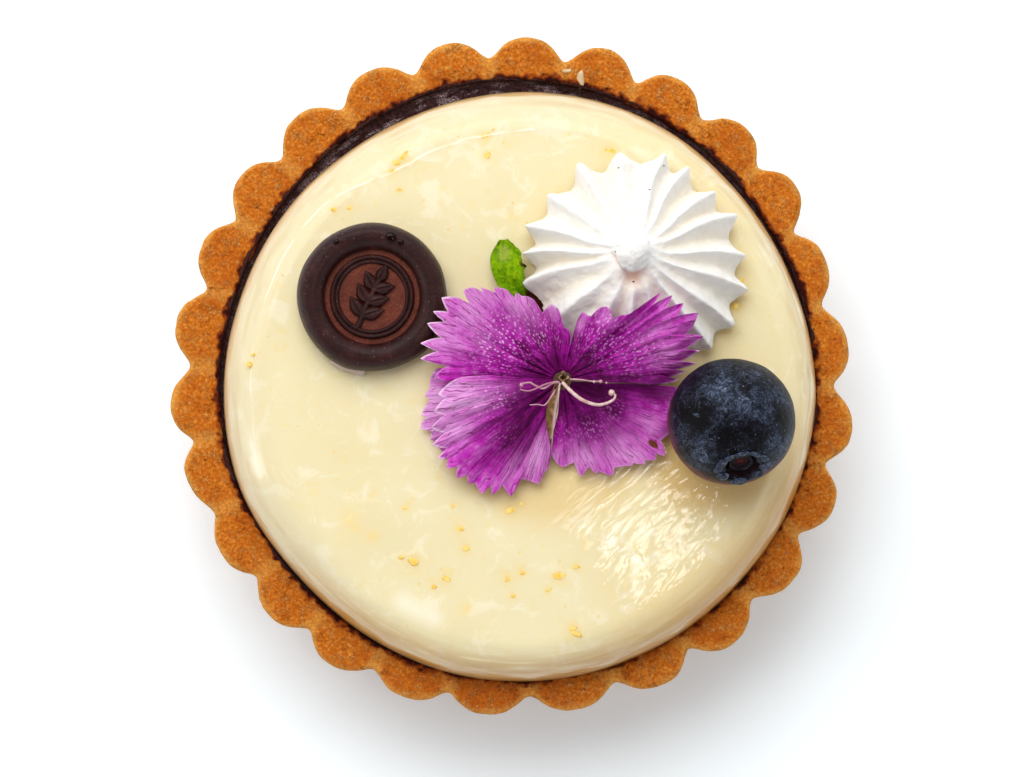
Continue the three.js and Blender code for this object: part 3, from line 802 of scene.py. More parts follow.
def cream_grid(angle, degrees):
    """The cream's rings, how far they lie inside the foot, how far they are on top, and the glaze's thin
    ridge.
    """
    inset, height = (between(column, np.linspace(0, 1, 124)) for column in zip(*CREAM_EDGE))
    inset = np.concatenate([[28, 12, 0.6], inset, np.linspace(6.4, FOOT_RADIUS - 0.4, 54)[1:]])[:, None]
    height = np.concatenate([[0, 0, 0], height, np.ones(53)])[:, None]
    height = CREAM_BOTTOM + (CREAM_TOP - CREAM_BOTTOM) * height
    around = turned(30, angle, 0)
    wander = looped(FOOT_WANDER, angle / TURN) + 0.08 * noise(around, 9, 22, 2)
    grid = turned(FOOT_RADIUS - inset + wander * ease(24, 8, inset), angle, height)
    grid[..., :2] += CREAM_AXIS
    on_top = ease(CREAM_BOTTOM + 2, CREAM_TOP, height)
    grid[..., 2] += (cream_top(grid) - CREAM_TOP) * on_top
    for x, y, reach, rise in DENTS:
        grid[..., 2] += rise * bell(apart(grid, x, y) / reach) * on_top
    # A hair-thin, broken ridge of the glaze around the back and the left of the rounded edge, painted white
    # as a highlight line.
    highlight_line = 6.1 - 2.3 * ease(120, 142, degrees) + 0.3 * noise(around, 5, 23, 2) + 0.1 * noise(around, 1, 29, 2)
    strength = window(70, 84, 196, 212, degrees) * (1 - 0.6 * ease(150, 170, degrees))
    ridge = strength * ease(-0.5, 0.3, noise(around, 2, 24, 3)) * bell((inset - highlight_line) / 0.075)
    grid[..., 2] += 0.05 * ridge
    wobble = 0.05 * noise(grid * (1, 1, 3), 2.4, 25, 2) * ease(6, 2, inset) * on_top
    return swollen(grid, wobble), inset, on_top, ridge


def painted_foot_shade(angle, degrees, inset):
    """Painted shade: how far the cream darkens towards its foot."""
    streak = noise(stacked(angle * 9, inset * 2.2, 0), 1, 26, 2)
    drawn = noise(stacked(angle * 6, inset * 2.6, 0), 1, 27, 3)
    wide = 0.45 + 0.85 * np.clip(bell((degrees - 40) / 50) + bell((degrees - 108) / 26), 0, 1)
    in_front = ease(4.2, 0.6, inset + 0.9 * drawn) * np.clip(0.85 + 0.5 * drawn, 0, 1)
    beside = 1 - window(25, 60, 285, 320, degrees)
    return strongest(
        0.85 * ease(1.15, 0.55, (inset + 0.28 * streak) / wide),
        0.4 * ease(3.2, 0.8, inset + 0.8 * streak),
        in_front * window(200, 235, 336, 352, degrees),
        0.9 * ease(0.4, 0.12, inset),
        0.7 * beside * bell((inset - 1.1 - 0.35 * streak) / 0.22),
    )


def make_cream(finish):
    angle = ring_angles(480)
    degrees = np.degrees(angle)
    grid, inset, on_top, ridge = cream_grid(angle, degrees)
    place = grid - (*CASE_AXIS, 0)
    zest = [0.45 * bell(2 * apart(place, x, y) / (length + width)) for x, y, length, width, _ in FLECKS]
    warm_shade = [
        level * bell(np.maximum(apart(grid, x, y) - reach, 0) / fall) for x, y, reach, fall, level in WARM_SHADES
    ]
    # Painted warm shade right of the meringue, and along the front right edge below the berry
    warm_shade.append(0.9 * bell(apart(place, 27.2, 8.4)))
    warm_shade.append(0.5 * window(276, 306, 345, 359, degrees) * ease(8.0, 2.5, inset))
    # Painted highlights: a faint line on the left of the rounded edge and a soft patch at the front left
    shine = strongest(
        0.36 * bell((inset - 3.4) / 0.45) * window(189, 194, 198, 203, degrees),
        0.48 * bell((inset - 6.0) / 1.3) * window(238, 243, 250, 254, degrees),
    )
    fields = {
        "foot": painted_foot_shade(angle, degrees, inset),
        "front": window(200, 235, 336, 352, degrees),
        # Painted shade on the back left of the rounded edge, which faces the window
        "shoulder_shade": 0.55 * window(50, 90, 215, 245, degrees) * ease(7.5, 2.0, inset),
        "ripple": 0.12 + 0.88 * ease(13, 5, apart(grid, *GLOSSY_PLACE)),
        "highlight_line": strongest(ridge, shine) * on_top,
        "zest": strongest(*zest) * on_top,
        "warm_shade": strongest(*warm_shade) * on_top,
    }
    ring_piece("lemon_cream", grid, finish, "cream_disc", fields)


# ---------------------------------------------------------------- seal

RING_OUTER = 9.1
RING_MIDDLE = 7.4
RING_TOP = 3.05
SEAL_FLOOR_RADIUS = 5.75
SEAL_FLOOR = 1.5
INNER_RING_RADIUS = 4.85
STEM = ((-1.7, -3.6, 0), (-0.6, -0.9, 0), (0.75, 1.8, 0))
LEAF_SHARES = (0.22, 0.52, 0.82)
LEAF_SPLAY = 0.9


def rounded(distance, half_width, height):
    """A round-topped ridge where distance is measured from its middle line."""
    return height * np.sqrt(np.clip(1 - (distance / half_width) ** 2, 0, None))


def sprig_relief(x, y):
    """The height of the sprig that stands on the seal's floor: a curved stem with leaves."""
    line, along = smooth_line(STEM, 60)
    gaps = np.hypot(x[..., None] - line[:, 0], y[..., None] - line[:, 1])

    def leaf(share, side, length, width):
        index = round(share * 59)
        bearing = math.atan2(along[index, 1], along[index, 0]) + side * LEAF_SPLAY
        from_x, from_y = x - line[index, 0], y - line[index, 1]
        ahead = from_x * math.cos(bearing) + from_y * math.sin(bearing)
        aside = -from_x * math.sin(bearing) + from_y * math.cos(bearing)
        half = width * np.sin(math.pi * np.clip(ahead / length, 0, 1) ** 0.8) + 0.02
        rise = rounded(aside, half, 0.75) * (ahead > 0) * (ahead < length)
        return rise - 0.2 * bell(aside / 0.12) * (rise > 0.2)

    leaves = [leaf(share, side, 3.0 - 0.5 * share, 0.85) for share in LEAF_SHARES for side in (1, -1)]
    return strongest(rounded(gaps.min(-1), 0.4, 0.6), *leaves, leaf(1.0, 0, 2.3, 0.78))


def make_seal(finish):
    angle = ring_angles(420)
    profile = [(4, -SINK), (8.2, -SINK), (8.7, -SINK)]
    for turn in np.linspace(-0.35, 1, 22) * RIGHT_ANGLE:
        profile.append((RING_MIDDLE + 1.75 * math.cos(turn) ** 0.8, 0.9 + (RING_TOP - 0.9) * math.sin(turn)))
    for turn in np.linspace(0, 1, 18)[1:] * RIGHT_ANGLE:
        height = SEAL_FLOOR + (RING_TOP - SEAL_FLOOR) * math.cos(turn)
        profile.append((RING_MIDDLE - 1.65 * math.sin(turn) ** 0.9, height))
    profile += [(radius, SEAL_FLOOR) for radius in np.linspace(SEAL_FLOOR_RADIUS - 0.02, 0.05, 96)]
    radius, height = rings(profile, angle)
    edge = ease(6.2, 9, radius)
    radius = radius + edge * 0.16 * noise(turned(RING_OUTER, angle, 0), 5, 41, 2)
    grid = turned(radius, angle, height)
    floor = ease(SEAL_FLOOR_RADIUS + 0.1, SEAL_FLOOR_RADIUS - 0.1, radius) * (height > 1)
    relief = strongest(
        rounded(radius - INNER_RING_RADIUS, 0.32, 0.55),
        rounded(radius - INNER_RING_RADIUS + 0.56, 0.26, 0.4),
        np.where(radius < 4.2, sprig_relief(grid[..., 0], grid[..., 1]), 0),
    )
    grid[..., 2] += relief * floor
    grid[..., 2] += 0.09 * noise(grid, 3.2, 42, 2) * edge * (height > 0.5)
    grid = tilted(grid, math.radians(2), math.radians(-100)) + (SEAL[0], SEAL[1], SEAL_BOTTOM + 0.3)
    fields = {"floor": floor * ease(0.16, 0.03, relief), "foot": 0.7 * ease(0.9, 0.2, height)}
    ring_piece("seal_of_chocolate", grid, finish, "chocolate_seal", fields)


# ---------------------------------------------------------------- meringue

RIDGES = (5, 26, 42, 61, 74, 97, 118, 140, 160, 174, 189, 218, 244, 268, 290, 313, 329, 348)
RIDGE_ROUNDING = 0.13
MERINGUE_RADIUS = 13.9
MERINGUE_HEIGHT = 11.6
# [share of the radius, share of the height, how deep the valleys are there]
MERINGUE_OUTLINE = (
    (0.60, -0.04, 0.3), (0.80, -0.02, 0.8), (0.92, 0.04, 1.0), (0.98, 0.09, 1.0), (1.00, 0.15, 1.0),
    (0.975, 0.21, 1.0), (0.90, 0.29, 1.0), (0.77, 0.40, 1.0), (0.62, 0.51, 1.0), (0.47, 0.62, 1.0),
    (0.34, 0.70, 0.95), (0.25, 0.76, 0.7), (0.185, 0.81, 0.35), (0.15, 0.865, 0.1), (0.125, 0.92, 0.0),
    (0.09, 0.965, 0.0), (0.045, 0.99, 0.0), (0.015, 1.0, 0.0),
)


def make_meringue(finish):
    steps = 30
    phase = np.arange(len(RIDGES) * steps) / steps
    angle = np.radians(np.interp(phase, np.arange(len(RIDGES) + 1), RIDGES + (RIDGES[0] + 360,)))
    columns = (between(column, np.linspace(0, 1, 130)) for column in zip(*MERINGUE_OUTLINE))
    radius, height, depth = (column[:, None] for column in columns)

    def uneven(place, seed):
        """A value from -1 to 1 for each ridge or valley."""
        return lattice(np.stack([place.astype(int) % len(RIDGES)] * 3, -1), seed)

    near = np.hypot(2 * np.abs(phase - np.round(phase)), RIDGE_ROUNDING) - RIDGE_ROUNDING
    sharp = (1 - near / (math.hypot(1, RIDGE_ROUNDING) - RIDGE_ROUNDING)) ** 1.7
    valley = (1 - sharp) * (1 + 0.3 * uneven(np.floor(phase), 54)) * depth
    length = 1 + 0.035 * uneven(np.round(phase), 51) * sharp
    reach = radius * MERINGUE_RADIUS * length * (1 - 0.125 * valley * ease(0.45, 0.95, radius))
    deep = 1.6 * ease(0.08, 0.72, radius) * ease(-0.04, 0.18, height)
    twist = 0.10 * np.sin(3.0 * radius) * ease(0.1, 0.6, radius)
    grid = turned(reach, angle + twist * np.cos(angle - 0.6), height * MERINGUE_HEIGHT - deep * valley)
    grid[..., :2] += ease(0.55, 0.95, height)[..., None] * (-0.3, 1.2)
    low = height < 0.84
    hollow = bell(apart(grid, -0.3, -1.7) / 1.35) * low
    groove = bell((grid[..., 0] + 2.4 + 0.8 * (grid[..., 1] - 0.2)) / 0.45) * low
    groove = groove * bell(apart(grid, -1.9, -0.1) / 1.7)
    grid[..., 2] -= 1.3 * hollow + 0.45 * groove
    grid = swollen(grid, 0.10 * noise(grid, 1.0, 52, 3) + 0.18 * noise(grid, 3.0, 53))
    grid += (MERINGUE_AXIS[0], MERINGUE_AXIS[1], bottom("meringue") - 0.1)
    fields = {
        # Painted shade in the valleys, and painted shadow in the hollow and groove under the peak
        "valley": np.clip(valley, 0, 1) ** 1.7 * 0.8,
        "dimple_shade": np.clip(strongest(hollow, 0.7 * groove), 0, 1) * 0.9,
    }
    ring_piece("piped_meringue", grid, finish, "meringue", fields)


# ---------------------------------------------------------------- blueberry

BERRY_RADIUS = 7.65
BERRY_POLAR_RADIUS = 7.5
CROWN_RADIUS = 2.55
CROWN_EDGE = math.acos(CROWN_RADIUS / BERRY_RADIUS)
BRIM = BERRY_POLAR_RADIUS * math.sin(CROWN_EDGE)
SKIN_RINGS = 96
# [radius, height over the brim] down the hollow and over the ring and the core in it
HOLLOW = (
    (2.45, 0.05), (2.3, 0.0), (2.15, -0.35), (2.05, -0.85), (1.85, -1.1), (1.65, -1.0), (1.5, -0.78),
    (1.3, -0.72), (1.1, -0.85), (0.9, -1.1), (0.6, -1.15), (0.3, -1.0), (0.06, -0.95),
)
# The blueberry's bloom, thick where the strength is above 0 and rubbed off below, laid only on its upper half
# and brightest at the upper left as a painted highlight: [x, y, reach, strength].
BLOOM_AND_SHEEN = (
    (-1.8, 3.4, 1.8, 0.07), (-3.4, 2.6, 1.4, 0.05), (3.8, 4.2, 1.6, 0.05), (0.6, 1.6, 2.0, 0.065),
    (3.0, 0.6, 1.8, 0.04), (-4.0, -4.8, 1.6, 0.08), (5.4, -3.6, 1.6, 0.07), (-6.6, -1.4, 1.2, 0.03),
    (-4.6, 0.2, 1.4, -0.18), (4.9, 5.2, 1.0, -0.11), (5.8, 0.2, 1.1, -0.13), (-0.9, -2.8, 1.7, -0.12),
    (2.4, -2.8, 1.2, -0.08), (-2.8, 5.2, 0.8, -0.08),
)
# The crown's lobes: [bearing about the crown, distance, width around it, depth, height].
LOBES = (
    (2, 2.75, 1.9, 1.4, 0.45), (32, 2.9, 1.5, 0.8, 0.35), (62, 2.85, 2.0, 0.7, 0.3),
    (97, 2.8, 2.4, 0.65, 0.3), (128, 2.8, 1.5, 0.8, 0.35), (155, 2.9, 1.7, 1.2, 0.4),
    (180, 2.9, 1.2, 1.1, 0.35), (211, 2.5, 1.5, 1.3, 0.45), (270, 2.5, 2.4, 1.1, 0.45),
    (326, 2.6, 1.2, 1.1, 0.4),
)


def lean_berry(points):
    """Points from around an upright berry's middle to their place on the tartlet."""
    return tilted(points, math.radians(56), math.radians(-80)) + BERRY


def make_berry(finish):
    angle = ring_angles(240)
    turns = np.linspace(-RIGHT_ANGLE + 0.02, CROWN_EDGE, SKIN_RINGS)
    profile = [(BERRY_RADIUS * math.cos(turn), BERRY_POLAR_RADIUS * math.sin(turn)) for turn in turns]
    inner = (between(column, np.linspace(0, 1, 60)[1:]) for column in zip(*HOLLOW))
    profile += [(radius, BRIM + height) for radius, height in zip(*inner)]
    radius, height = rings(profile, angle)
    order = np.arange(len(radius))[:, None]
    wave = np.cos(5 * angle + 0.6 * np.sin(angle + 1))
    grid = turned(radius * (1 + 0.13 * wave * window(92, 104, 118, 126, order)), angle, height)
    swell = 0.10 * noise(grid, 6, 61, 2) + 0.035 * noise(grid, 1.5, 62, 2)
    grid = lean_berry(swollen(grid, swell * np.where(order < SKIN_RINGS, 1, 0.4)))
    x, y, z = (grid[..., i] - BERRY[i] for i in range(3))
    toward_front = ease(-0.3, 0.6, (-0.34 * x - 0.94 * y) / BERRY_RADIUS)
    bloom_and_sheen = sum(amount * bell(np.hypot(x - at_x, y - at_y) / size) for at_x, at_y, size, amount in BLOOM_AND_SHEEN)
    hollow = ease(98, 108, order) * (1 - 0.7 * ease(142, 148, order))
    hollow = hollow * (1 - 0.75 * window(120, 126, 131, 136, order))
    fields = {
        "bloom_and_sheen": bloom_and_sheen * (z > 0) - 0.024 + 0.035 * noise(grid, 3, 63, 2),
        # Reddish on the lower front: partly ripe skin, partly painted reflection of the cream
        "ripe_and_reflected_cream": 0.8 * ease(-2.6, -0.4, 0.8 * noise(grid, 2, 64) - z) * toward_front * (order < SKIN_RINGS),
        "core": ease(140, 146, order),
        "hollow": hollow,
    }
    ring_piece("fresh_blueberry", grid, finish, "blueberry", fields)


def make_crown(finish):
    """The berry's crown: puffy lobes around its hollow."""
    grids = []
    for seed, (bearing, distance, width, depth, height) in enumerate(LOBES, 20):
        grid = lump_grid((distance, 0, BRIM + 0.05), (depth, width, height), seed, 0.3, 34, 22)
        grids.append(lean_berry(spun(grid, math.radians(bearing))))
    joined_piece("blueberry_crown", grids, finish)


# ---------------------------------------------------------------- flower

PETAL_START = 1.1
PETAL_ARCH = 0.8
PETALS = {
    # outline: [bearing in degrees, reach] of the tooth tips and the notches between them
    # waist: degrees that the far side is trimmed by at the calyx
    # root and edge: heights, the edge's from side to side
    # folds: [bearing, degrees wide, drop, reach]; curl and rimmed: [from bearing, to bearing, strength]
    # light, dark, dotted and brown: spots as nearness() takes them
    "petal_back_left": dict(
        outline=(
            (75.5, 2.6), (79, 5.2), (83, 6.1), (88, 6.3), (90.5, 6.9), (93, 8.4), (98, 9.2), (102, 8.8),
            (107, 8.3), (109.5, 10.1), (112, 10.7), (116, 11.2), (118, 11.9), (120, 11.3), (121.5, 12.7),
            (126, 13.8), (127.5, 13.2), (131.5, 14.9), (132, 14.1), (134, 15.5), (138, 16.1),
            (140.5, 14.3), (141.5, 16.0), (145.3, 17.7), (148.7, 16.0), (151.5, 17.8), (153.2, 15.8),
            (156.6, 17.8), (160.1, 15.5), (164.5, 17.8), (166, 15.4), (170.3, 17.5), (171.8, 14.0),
            (176.9, 15.4), (179.5, 14.5),
        ),
        waist=0, root=30.4, edge=(32.6, 33.0, 33.0, 32.6, 31.7, 31.4, 31.0),
        folds=((104, 2.5, 0.3, 6), (127, 2.5, 0.3, 7), (141, 2.2, 0.5, 9.0), (152, 2.6, 0.6, 10.5),
               (165, 3.0, 0.5, 8)),
        curl=((144, 172, 0.3),),
        light=((98, 9.0, 6, 1.8, 0.7), (150, 11.5, 12, 2.5, 0.35), (158, 15.5, 10, 3.0, 0.55),
               (138, 14, 20, 3.0, 0.55), (118, 10.5, 12, 2.8, 0.7)),
        dark=((172, 4.0, 9, 2.6, 0.95), (150, 3.5, 5, 2.5, 0.6), (176, 8.5, 4, 3.0, 0.5),
              (166, 12, 2.2, 2.0, 0.35)),
        dotted=((147, 8.6, 21, 3.4, 1.0), (118, 7.0, 20, 2.4, 0.8), (95, 5.5, 12, 1.5, 0.4)),
        rimmed=((143, 171, 0.9), (95, 101, 0.6)),
    ),
    "petal_back_right": dict(
        outline=(
            (-2.5, 11.4), (-1, 13.0), (0.6, 14.2), (2.0, 12.6), (4.0, 15.1), (5.2, 13.4), (6.8, 16.4),
            (9, 14.2), (11.4, 17.0), (13.4, 14.9), (16.2, 17.7), (19.5, 15.6), (23.7, 17.9), (27.0, 15.4),
            (30.1, 16.9), (33.0, 14.6), (36.3, 16.3), (38.4, 13.7), (40.6, 15.5), (41.4, 13.9),
            (42.2, 12.2), (43.2, 10.9), (46, 10.2), (49.9, 9.0), (54, 9.8), (57.8, 9.9), (60.8, 9.5),
            (64.4, 8.1), (68, 8.1), (72.6, 8.4), (75.2, 7.3), (76.5, 4.4),
        ),
        waist=0, root=31.2, edge=(31.0, 33.4, 35.6, 36.8, 36.6, 35.6, 33.4),
        folds=((12, 2.5, 0.4, 8), (28, 2.5, 0.3, 9), (46, 2.5, 0.3, 8)),
        curl=((-3, 24, 1.7),), sweep=(38, 0.8),
        light=((72, 7.0, 5, 1.5, 0.45), (55, 9.0, 9, 1.3, 0.35), (16, 13, 9, 2.4, 0.4),
               (26, 12, 6, 2.5, 0.3)),
        dark=((2, 7, 4, 4.5, 0.9), (8, 4, 6, 2.5, 0.7), (30, 3, 9, 1.6, 0.6), (44, 12, 3, 1.6, 0.4)),
        dotted=((40, 7.2, 24, 2.8, 0.9), (18, 9.5, 13, 3.2, 0.6), (66, 5.5, 8, 1.8, 0.6)),
        rimmed=((-3, 18, 0.9),),
    ),
    "petal_front_left": dict(
        outline=(
            (177, 9.8), (179, 12.4), (183.3, 14.2), (186.8, 15.1), (188.8, 14.2), (193.8, 16.0),
            (196.3, 14.7), (199.7, 16.9), (203.7, 15.6), (206.1, 17.6), (210, 16.1), (211.5, 17.8),
            (214, 16.7), (216.8, 17.6), (219, 16.3), (222.4, 17.4), (224.6, 16.1), (227.5, 16.9),
            (229, 16.2), (234.1, 16.8), (235.2, 15.2), (237.9, 16.2), (239.6, 14.5), (245.2, 15.3),
            (246.6, 12.8), (251.8, 12.7), (256.7, 12.8), (258.2, 11.3), (260.2, 10.7), (261, 9.0),
        ),
        waist=30, root=31.3, edge=(32.6, 32.0, 30.7, 29.5, 28.8, 28.4, 28.4),
        folds=((206, 4.0, 0.5, 11), (218, 4.5, 0.8, 13), (232, 3.5, 0.5, 12), (244, 3.0, 0.6, 15)),
        curl=((178, 214, 0.5),),
        light=((190, 12.5, 11, 4.5, 1.0), (203, 14.5, 7, 2.8, 0.9), (253, 9.8, 8, 3.2, 1.0),
               (240, 12, 5, 2.5, 0.35)),
        dark=((228, 8.0, 12, 4.4, 1.2), (214, 5.0, 16, 2.8, 1.0), (225, 12, 5, 3.0, 0.7),
              (211, 10.0, 3, 3, 0.8)),
        dotted=((195, 8.5, 10, 2.6, 0.8), (222, 10, 10, 2.2, 0.12)),
        rimmed=((178, 212, 0.85),),
    ),
    "petal_front_right": dict(
        outline=(
            (259.5, 7.2), (261.3, 8.6), (265.3, 9.7), (270, 10.4), (274.7, 10.1), (278.1, 9.9),
            (280.6, 11.8), (284, 11.3), (287.3, 10.8), (290.3, 12.0), (292.6, 11.7), (298.1, 13.0),
            (301.1, 12.2), (306.7, 12.8), (309.5, 13.3), (311, 13.1), (314.4, 14.2), (316.4, 13.9),
            (319.7, 14.8), (322, 14.3), (323.4, 15.4), (326, 14.9), (328.5, 13.9), (333.7, 14.5),
            (340, 14.6), (350, 14.4), (356.5, 13.9),
        ),
        waist=0, root=29.8, edge=(28.3, 28.2, 28.2, 28.3, 28.7, 29.0, 29.3),
        folds=((278, 3.0, 0.3, 9), (296, 3.0, 0.35, 10), (315, 4.0, 0.4, 12), (335, 3.5, 0.3, 12)),
        curl=(),
        light=((285, 10.2, 16, 2.4, 0.8), (312, 12.0, 14, 3.0, 0.8), (332, 12.0, 7, 2.0, 0.5),
               (266, 9.3, 5, 1.2, 0.7)),
        # (355, 10.0, ...) is painted shadow, where the back right petal and the berry overhang this petal
        dark=((335, 5.4, 25, 4.2, 1.2), (355, 10.0, 9, 4.5, 1.1), (300, 5.4, 20, 2.9, 0.95),
              (334, 14.0, 3, 0.8, 0.7)),
        dotted=((272, 6.5, 10, 2.0, 0.35), (300, 7.0, 16, 1.8, 0.4), (330, 7.0, 10, 1.6, 0.3)),
        brown=((325, 13.4, 1.7, 0.75, 1.6),),
        rimmed=((259, 262, 0.5),),
    ),
    "petal_under_left": dict(
        outline=(
            (174, 15.2), (178, 16.0), (180.9, 16.1), (183, 16.2), (185.5, 16.8), (187.8, 16.1),
            (191, 17.1), (193.6, 17.6), (194.6, 16.9), (196, 17.8), (198, 18.1), (200.4, 16.9),
            (203.2, 17.5), (206, 16.6), (209, 17.0), (214, 16.2),
        ),
        waist=0, root=28.8, edge=(28.3, 28.1, 28.0, 28.0, 28.0, 28.0, 28.1),
        folds=(), curl=(),
        light=((186, 16.5, 14, 3.0, 1.1), (200, 17.5, 6, 2.0, 0.9)), dark=((207, 16.5, 3, 1.5, 0.6),),
        dotted=(), rimmed=((192, 200, 0.4),),
    ),
}


def swept(bearings, radius, sweep):
    """How many degrees clockwise a petal's teeth hook over, for a sweep of [until bearing, degrees a mm]."""
    until, rate = sweep
    return rate * np.maximum(radius - 12.0, 0) * ease(until, until - 14, bearings)


def nearness(spots, bearing, reach):
    """How near a place is to spots of [bearing, reach, degrees wide, millimetres long, strength]."""
    near = [
        strength * bell(np.hypot((bearing - at_bearing) / wide, (reach - at_reach) / long))
        for at_bearing, at_reach, wide, long, strength in spots
    ]
    return strongest(0.0, *near)


def petal_edge(outline, sweep, across):
    """A petal's first and last bearing, its reach all along its edge, and how near a tooth's tip that is."""
    bearings, reaches = (np.array(column, float) for column in zip(*outline))
    bearings = np.maximum.accumulate(bearings + swept(bearings, reaches, sweep))
    bearings += np.arange(len(bearings)) * 0.02
    wanted = bearings[0] + (bearings[-1] - bearings[0]) * across
    cell = np.clip(np.searchsorted(bearings, wanted, side="right") - 1, 0, len(bearings) - 2)
    part = (wanted - bearings[cell]) / (bearings[cell + 1] - bearings[cell])
    first, last = reaches[cell], reaches[cell + 1]
    part = np.where(last > first, part**0.75, 1 - (1 - part) ** 0.75)
    return bearings[0], bearings[-1], first + (last - first) * part, np.where(last > first, part, 1 - part)


def make_petal(
    name, finish, seed, outline, waist, root, edge, folds, curl, light, dark, dotted, rimmed,
    sweep=(0, 0), brown=(),
):
    across = np.linspace(0, 1, 300)
    along = np.linspace(0, 1, 72)[:, None] ** 0.85
    start, end, full, toward_tip = petal_edge(outline, sweep, across)
    radius = PETAL_START + (full - PETAL_START) * along
    from_tip = (full - PETAL_START) * (1 - along)
    degrees = start + (end - start - waist * ease(9.0, 1.0, radius)) * across
    place = stacked(across * 7, along * 2.2, seed)
    ribbed = stacked(degrees / 3.4, radius / 9, seed)
    height = root + (between(edge, across) - root) * along**PETAL_ARCH
    height = height + 0.40 * noise(place, 1, seed, 2) * ease(0.15, 0.9, along)
    ribs = 0.22 * noise(ribbed, 1, seed + 1) + 0.09 * noise(ribbed * 2.7, 1, seed + 2)
    height += ribs * ease(2, 8, radius)
    crease = 0.0
    for centre, breadth, drop, reach in folds:
        gap = (degrees - centre - 1.5 * noise(place * 0.9, 1, seed + 5)) / breadth
        height -= drop * bell(gap) * window(1.0, 2.2, 0.55 * reach, reach, radius)
        # Painted shade along each fold
        crease = strongest(crease, bell(gap / 0.4) * window(1.0, 2.0, 0.5 * reach, 0.95 * reach, radius))
    for low, high, depth in curl:
        height -= depth * window(low - 4, low, high, high + 4, degrees) * ease(2.6, 0, from_tip) ** 1.5
    sway = 0.7 * noise(place * 1.3, 1, seed + 3) * ease(3, 9, radius)
    middle_line = turned(radius, np.radians(degrees + sway - swept(degrees, radius, sweep)), height)
    middle_line[..., :2] += FLOWER
    lift = stacked(0, 0, 0.14 * (1 - 0.55 * ease(0.7, 1, along)))

    mottled = 1 + 0.45 * noise(place * 2.5, 1, seed + 9, 2)
    pale_edge = ease(0.5, 0.1, from_tip) * ease(-0.3, 0.8, toward_tip)
    rim = [level * window(low - 3, low, high, high + 3, degrees) * pale_edge for low, high, level in rimmed]
    fields = {
        "reach": radius,
        "veins": degrees / 2,
        "edge": strongest(*rim, 0.25 * ease(0.3, 0, from_tip)),
        "light": np.clip(nearness(light, degrees, radius) * mottled, 0, 1),
        "shade": np.clip(strongest(nearness(dark, degrees, radius) * mottled, 0.85 * crease), 0, 1),
        "dotted": nearness(dotted, degrees, radius),
        "brown": ease(0.5, 0.8, nearness(brown, degrees, radius)),
    }
    sheet_piece(f"dianthus_{name}", middle_line, lift, finish, [name], fields)


def make_throat(finish):
    """The calyx's small tan mouth, split into uneven points, on a post that goes down to the cream."""
    angle = ring_angles(60)
    profile = ((0.3, 26.8), (0.6, 26.9), (0.6, 29.0), (0.5, 30.6), (0.46, 31.4), (0.5, 31.8), (0.42, 31.9),
               (0.32, 31.4), (0.2, 30.8), (0.1, 30.5), (0.02, 30.4))
    radius, height = (between(column, np.linspace(0, 1, 44))[:, None] for column in zip(*profile))
    points = np.cos(4 * angle) + 0.5 * np.cos(3 * angle + 1)
    near_top = ease(30.8, 31.8, height)
    grid = turned(radius * (1 + 0.35 * points * near_top), angle, height + 0.25 * points * near_top)
    grid += 0.05 * noise(grid, 0.8, 71, 2)[..., None]
    grid[..., :2] += FLOWER + (0.1, 0.3)
    ring_piece("calyx_throat", grid, finish, "calyx", {"pale": near_top * 0.25})


def make_sepal(finish):
    """The tan sepal on the cream between the two front petals, with a pale strand on its right."""
    rows = 70
    along = np.linspace(0, 1, rows)[:, None]
    across = np.linspace(-1, 1, 21)
    middle_line = [(-0.6, -0.6, 31.3), (-1.2, -3.0, 29.7), (-1.5, -5.6, 28.6), (-1.45, -8.5, 27.8)]
    line, _ = smooth_line(middle_line, rows)
    half = 0.62 * np.sin(math.pi * (0.16 + 0.82 * along)) ** 0.7
    rib = bell((across - 0.75) / 0.3)
    place = line[:, None] + stacked(across * half + FLOWER[0], FLOWER[1], 0.22 * across**2 + 0.2 * rib)
    sheet_piece("tan_sepal", place, (0, 0, 0.12), finish, ["sepal"], {"pale": rib * 0.9})


# The styles and stamens from the flower's axis. Bodies are [line, radii, rings, how rosy].
CURLED_STYLE = (
    ((0.0, -0.35, 31.9), (1.15, -1.55, 32.4), (2.45, -2.55, 32.8), (4.1, -3.1, 32.9), (5.2, -2.95, 32.9),
     (6.1, -2.5, 32.8), (6.35, -1.95, 32.7), (5.95, -1.65, 32.6)),
    (0.21, 0.23, 0.22, 0.2, 0.18, 0.16, 0.14, 0.14), 80, 0.0,
)
SHORT_STYLE = (
    (((-0.4, -0.3, 31.9), (-1.2, -0.45, 32.3), (-2.3, -1.1, 32.5), (-3.3, -0.75, 32.5), (-3.95, -0.4, 32.6),
      (-4.9, -0.55, 32.6)), (0.15, 0.14, 0.13, 0.12, 0.11, 0.11), 60, 0.65),
    (((-0.6, -0.2, 31.9), (-2.0, -0.6, 32.7), (-3.8, -1.35, 32.5), (-4.6, -1.35, 32.4), (-5.1, -1.2, 32.4)),
     (0.11, 0.1, 0.09, 0.08, 0.08), 44, 0.8),
)
STAMEN_RADII = (0.11, 0.1, 0.08, 0.06)
STAMENS = (
    (((-0.9, -1.2, 31.5), (-1.2, -1.85, 32.0), (-2.1, -3.05, 32.1), (-3.0, -3.0, 31.9), (-3.95, -3.05, 31.7)),
     STAMEN_RADII, 44, 0.6),
    (((-0.3, -0.4, 31.9), (-0.5, -2.0, 31.5), (-0.55, -3.6, 30.3), (-0.9, -5.2, 29.6), (-1.4, -7.0, 28.9)),
     STAMEN_RADII, 44, 0.1),
    (((0.9, 0.05, 31.9), (2.3, -0.05, 32.3), (3.7, -0.24, 32.3), (4.6, -0.2, 32.2)), STAMEN_RADII, 44, 0.5),
)
ANTHERS = (((4.6, -0.25, 32.2), 0.45), ((3.8, -0.28, 32.3), 0.36), ((5.3, -0.4, 32.0), 0.3))


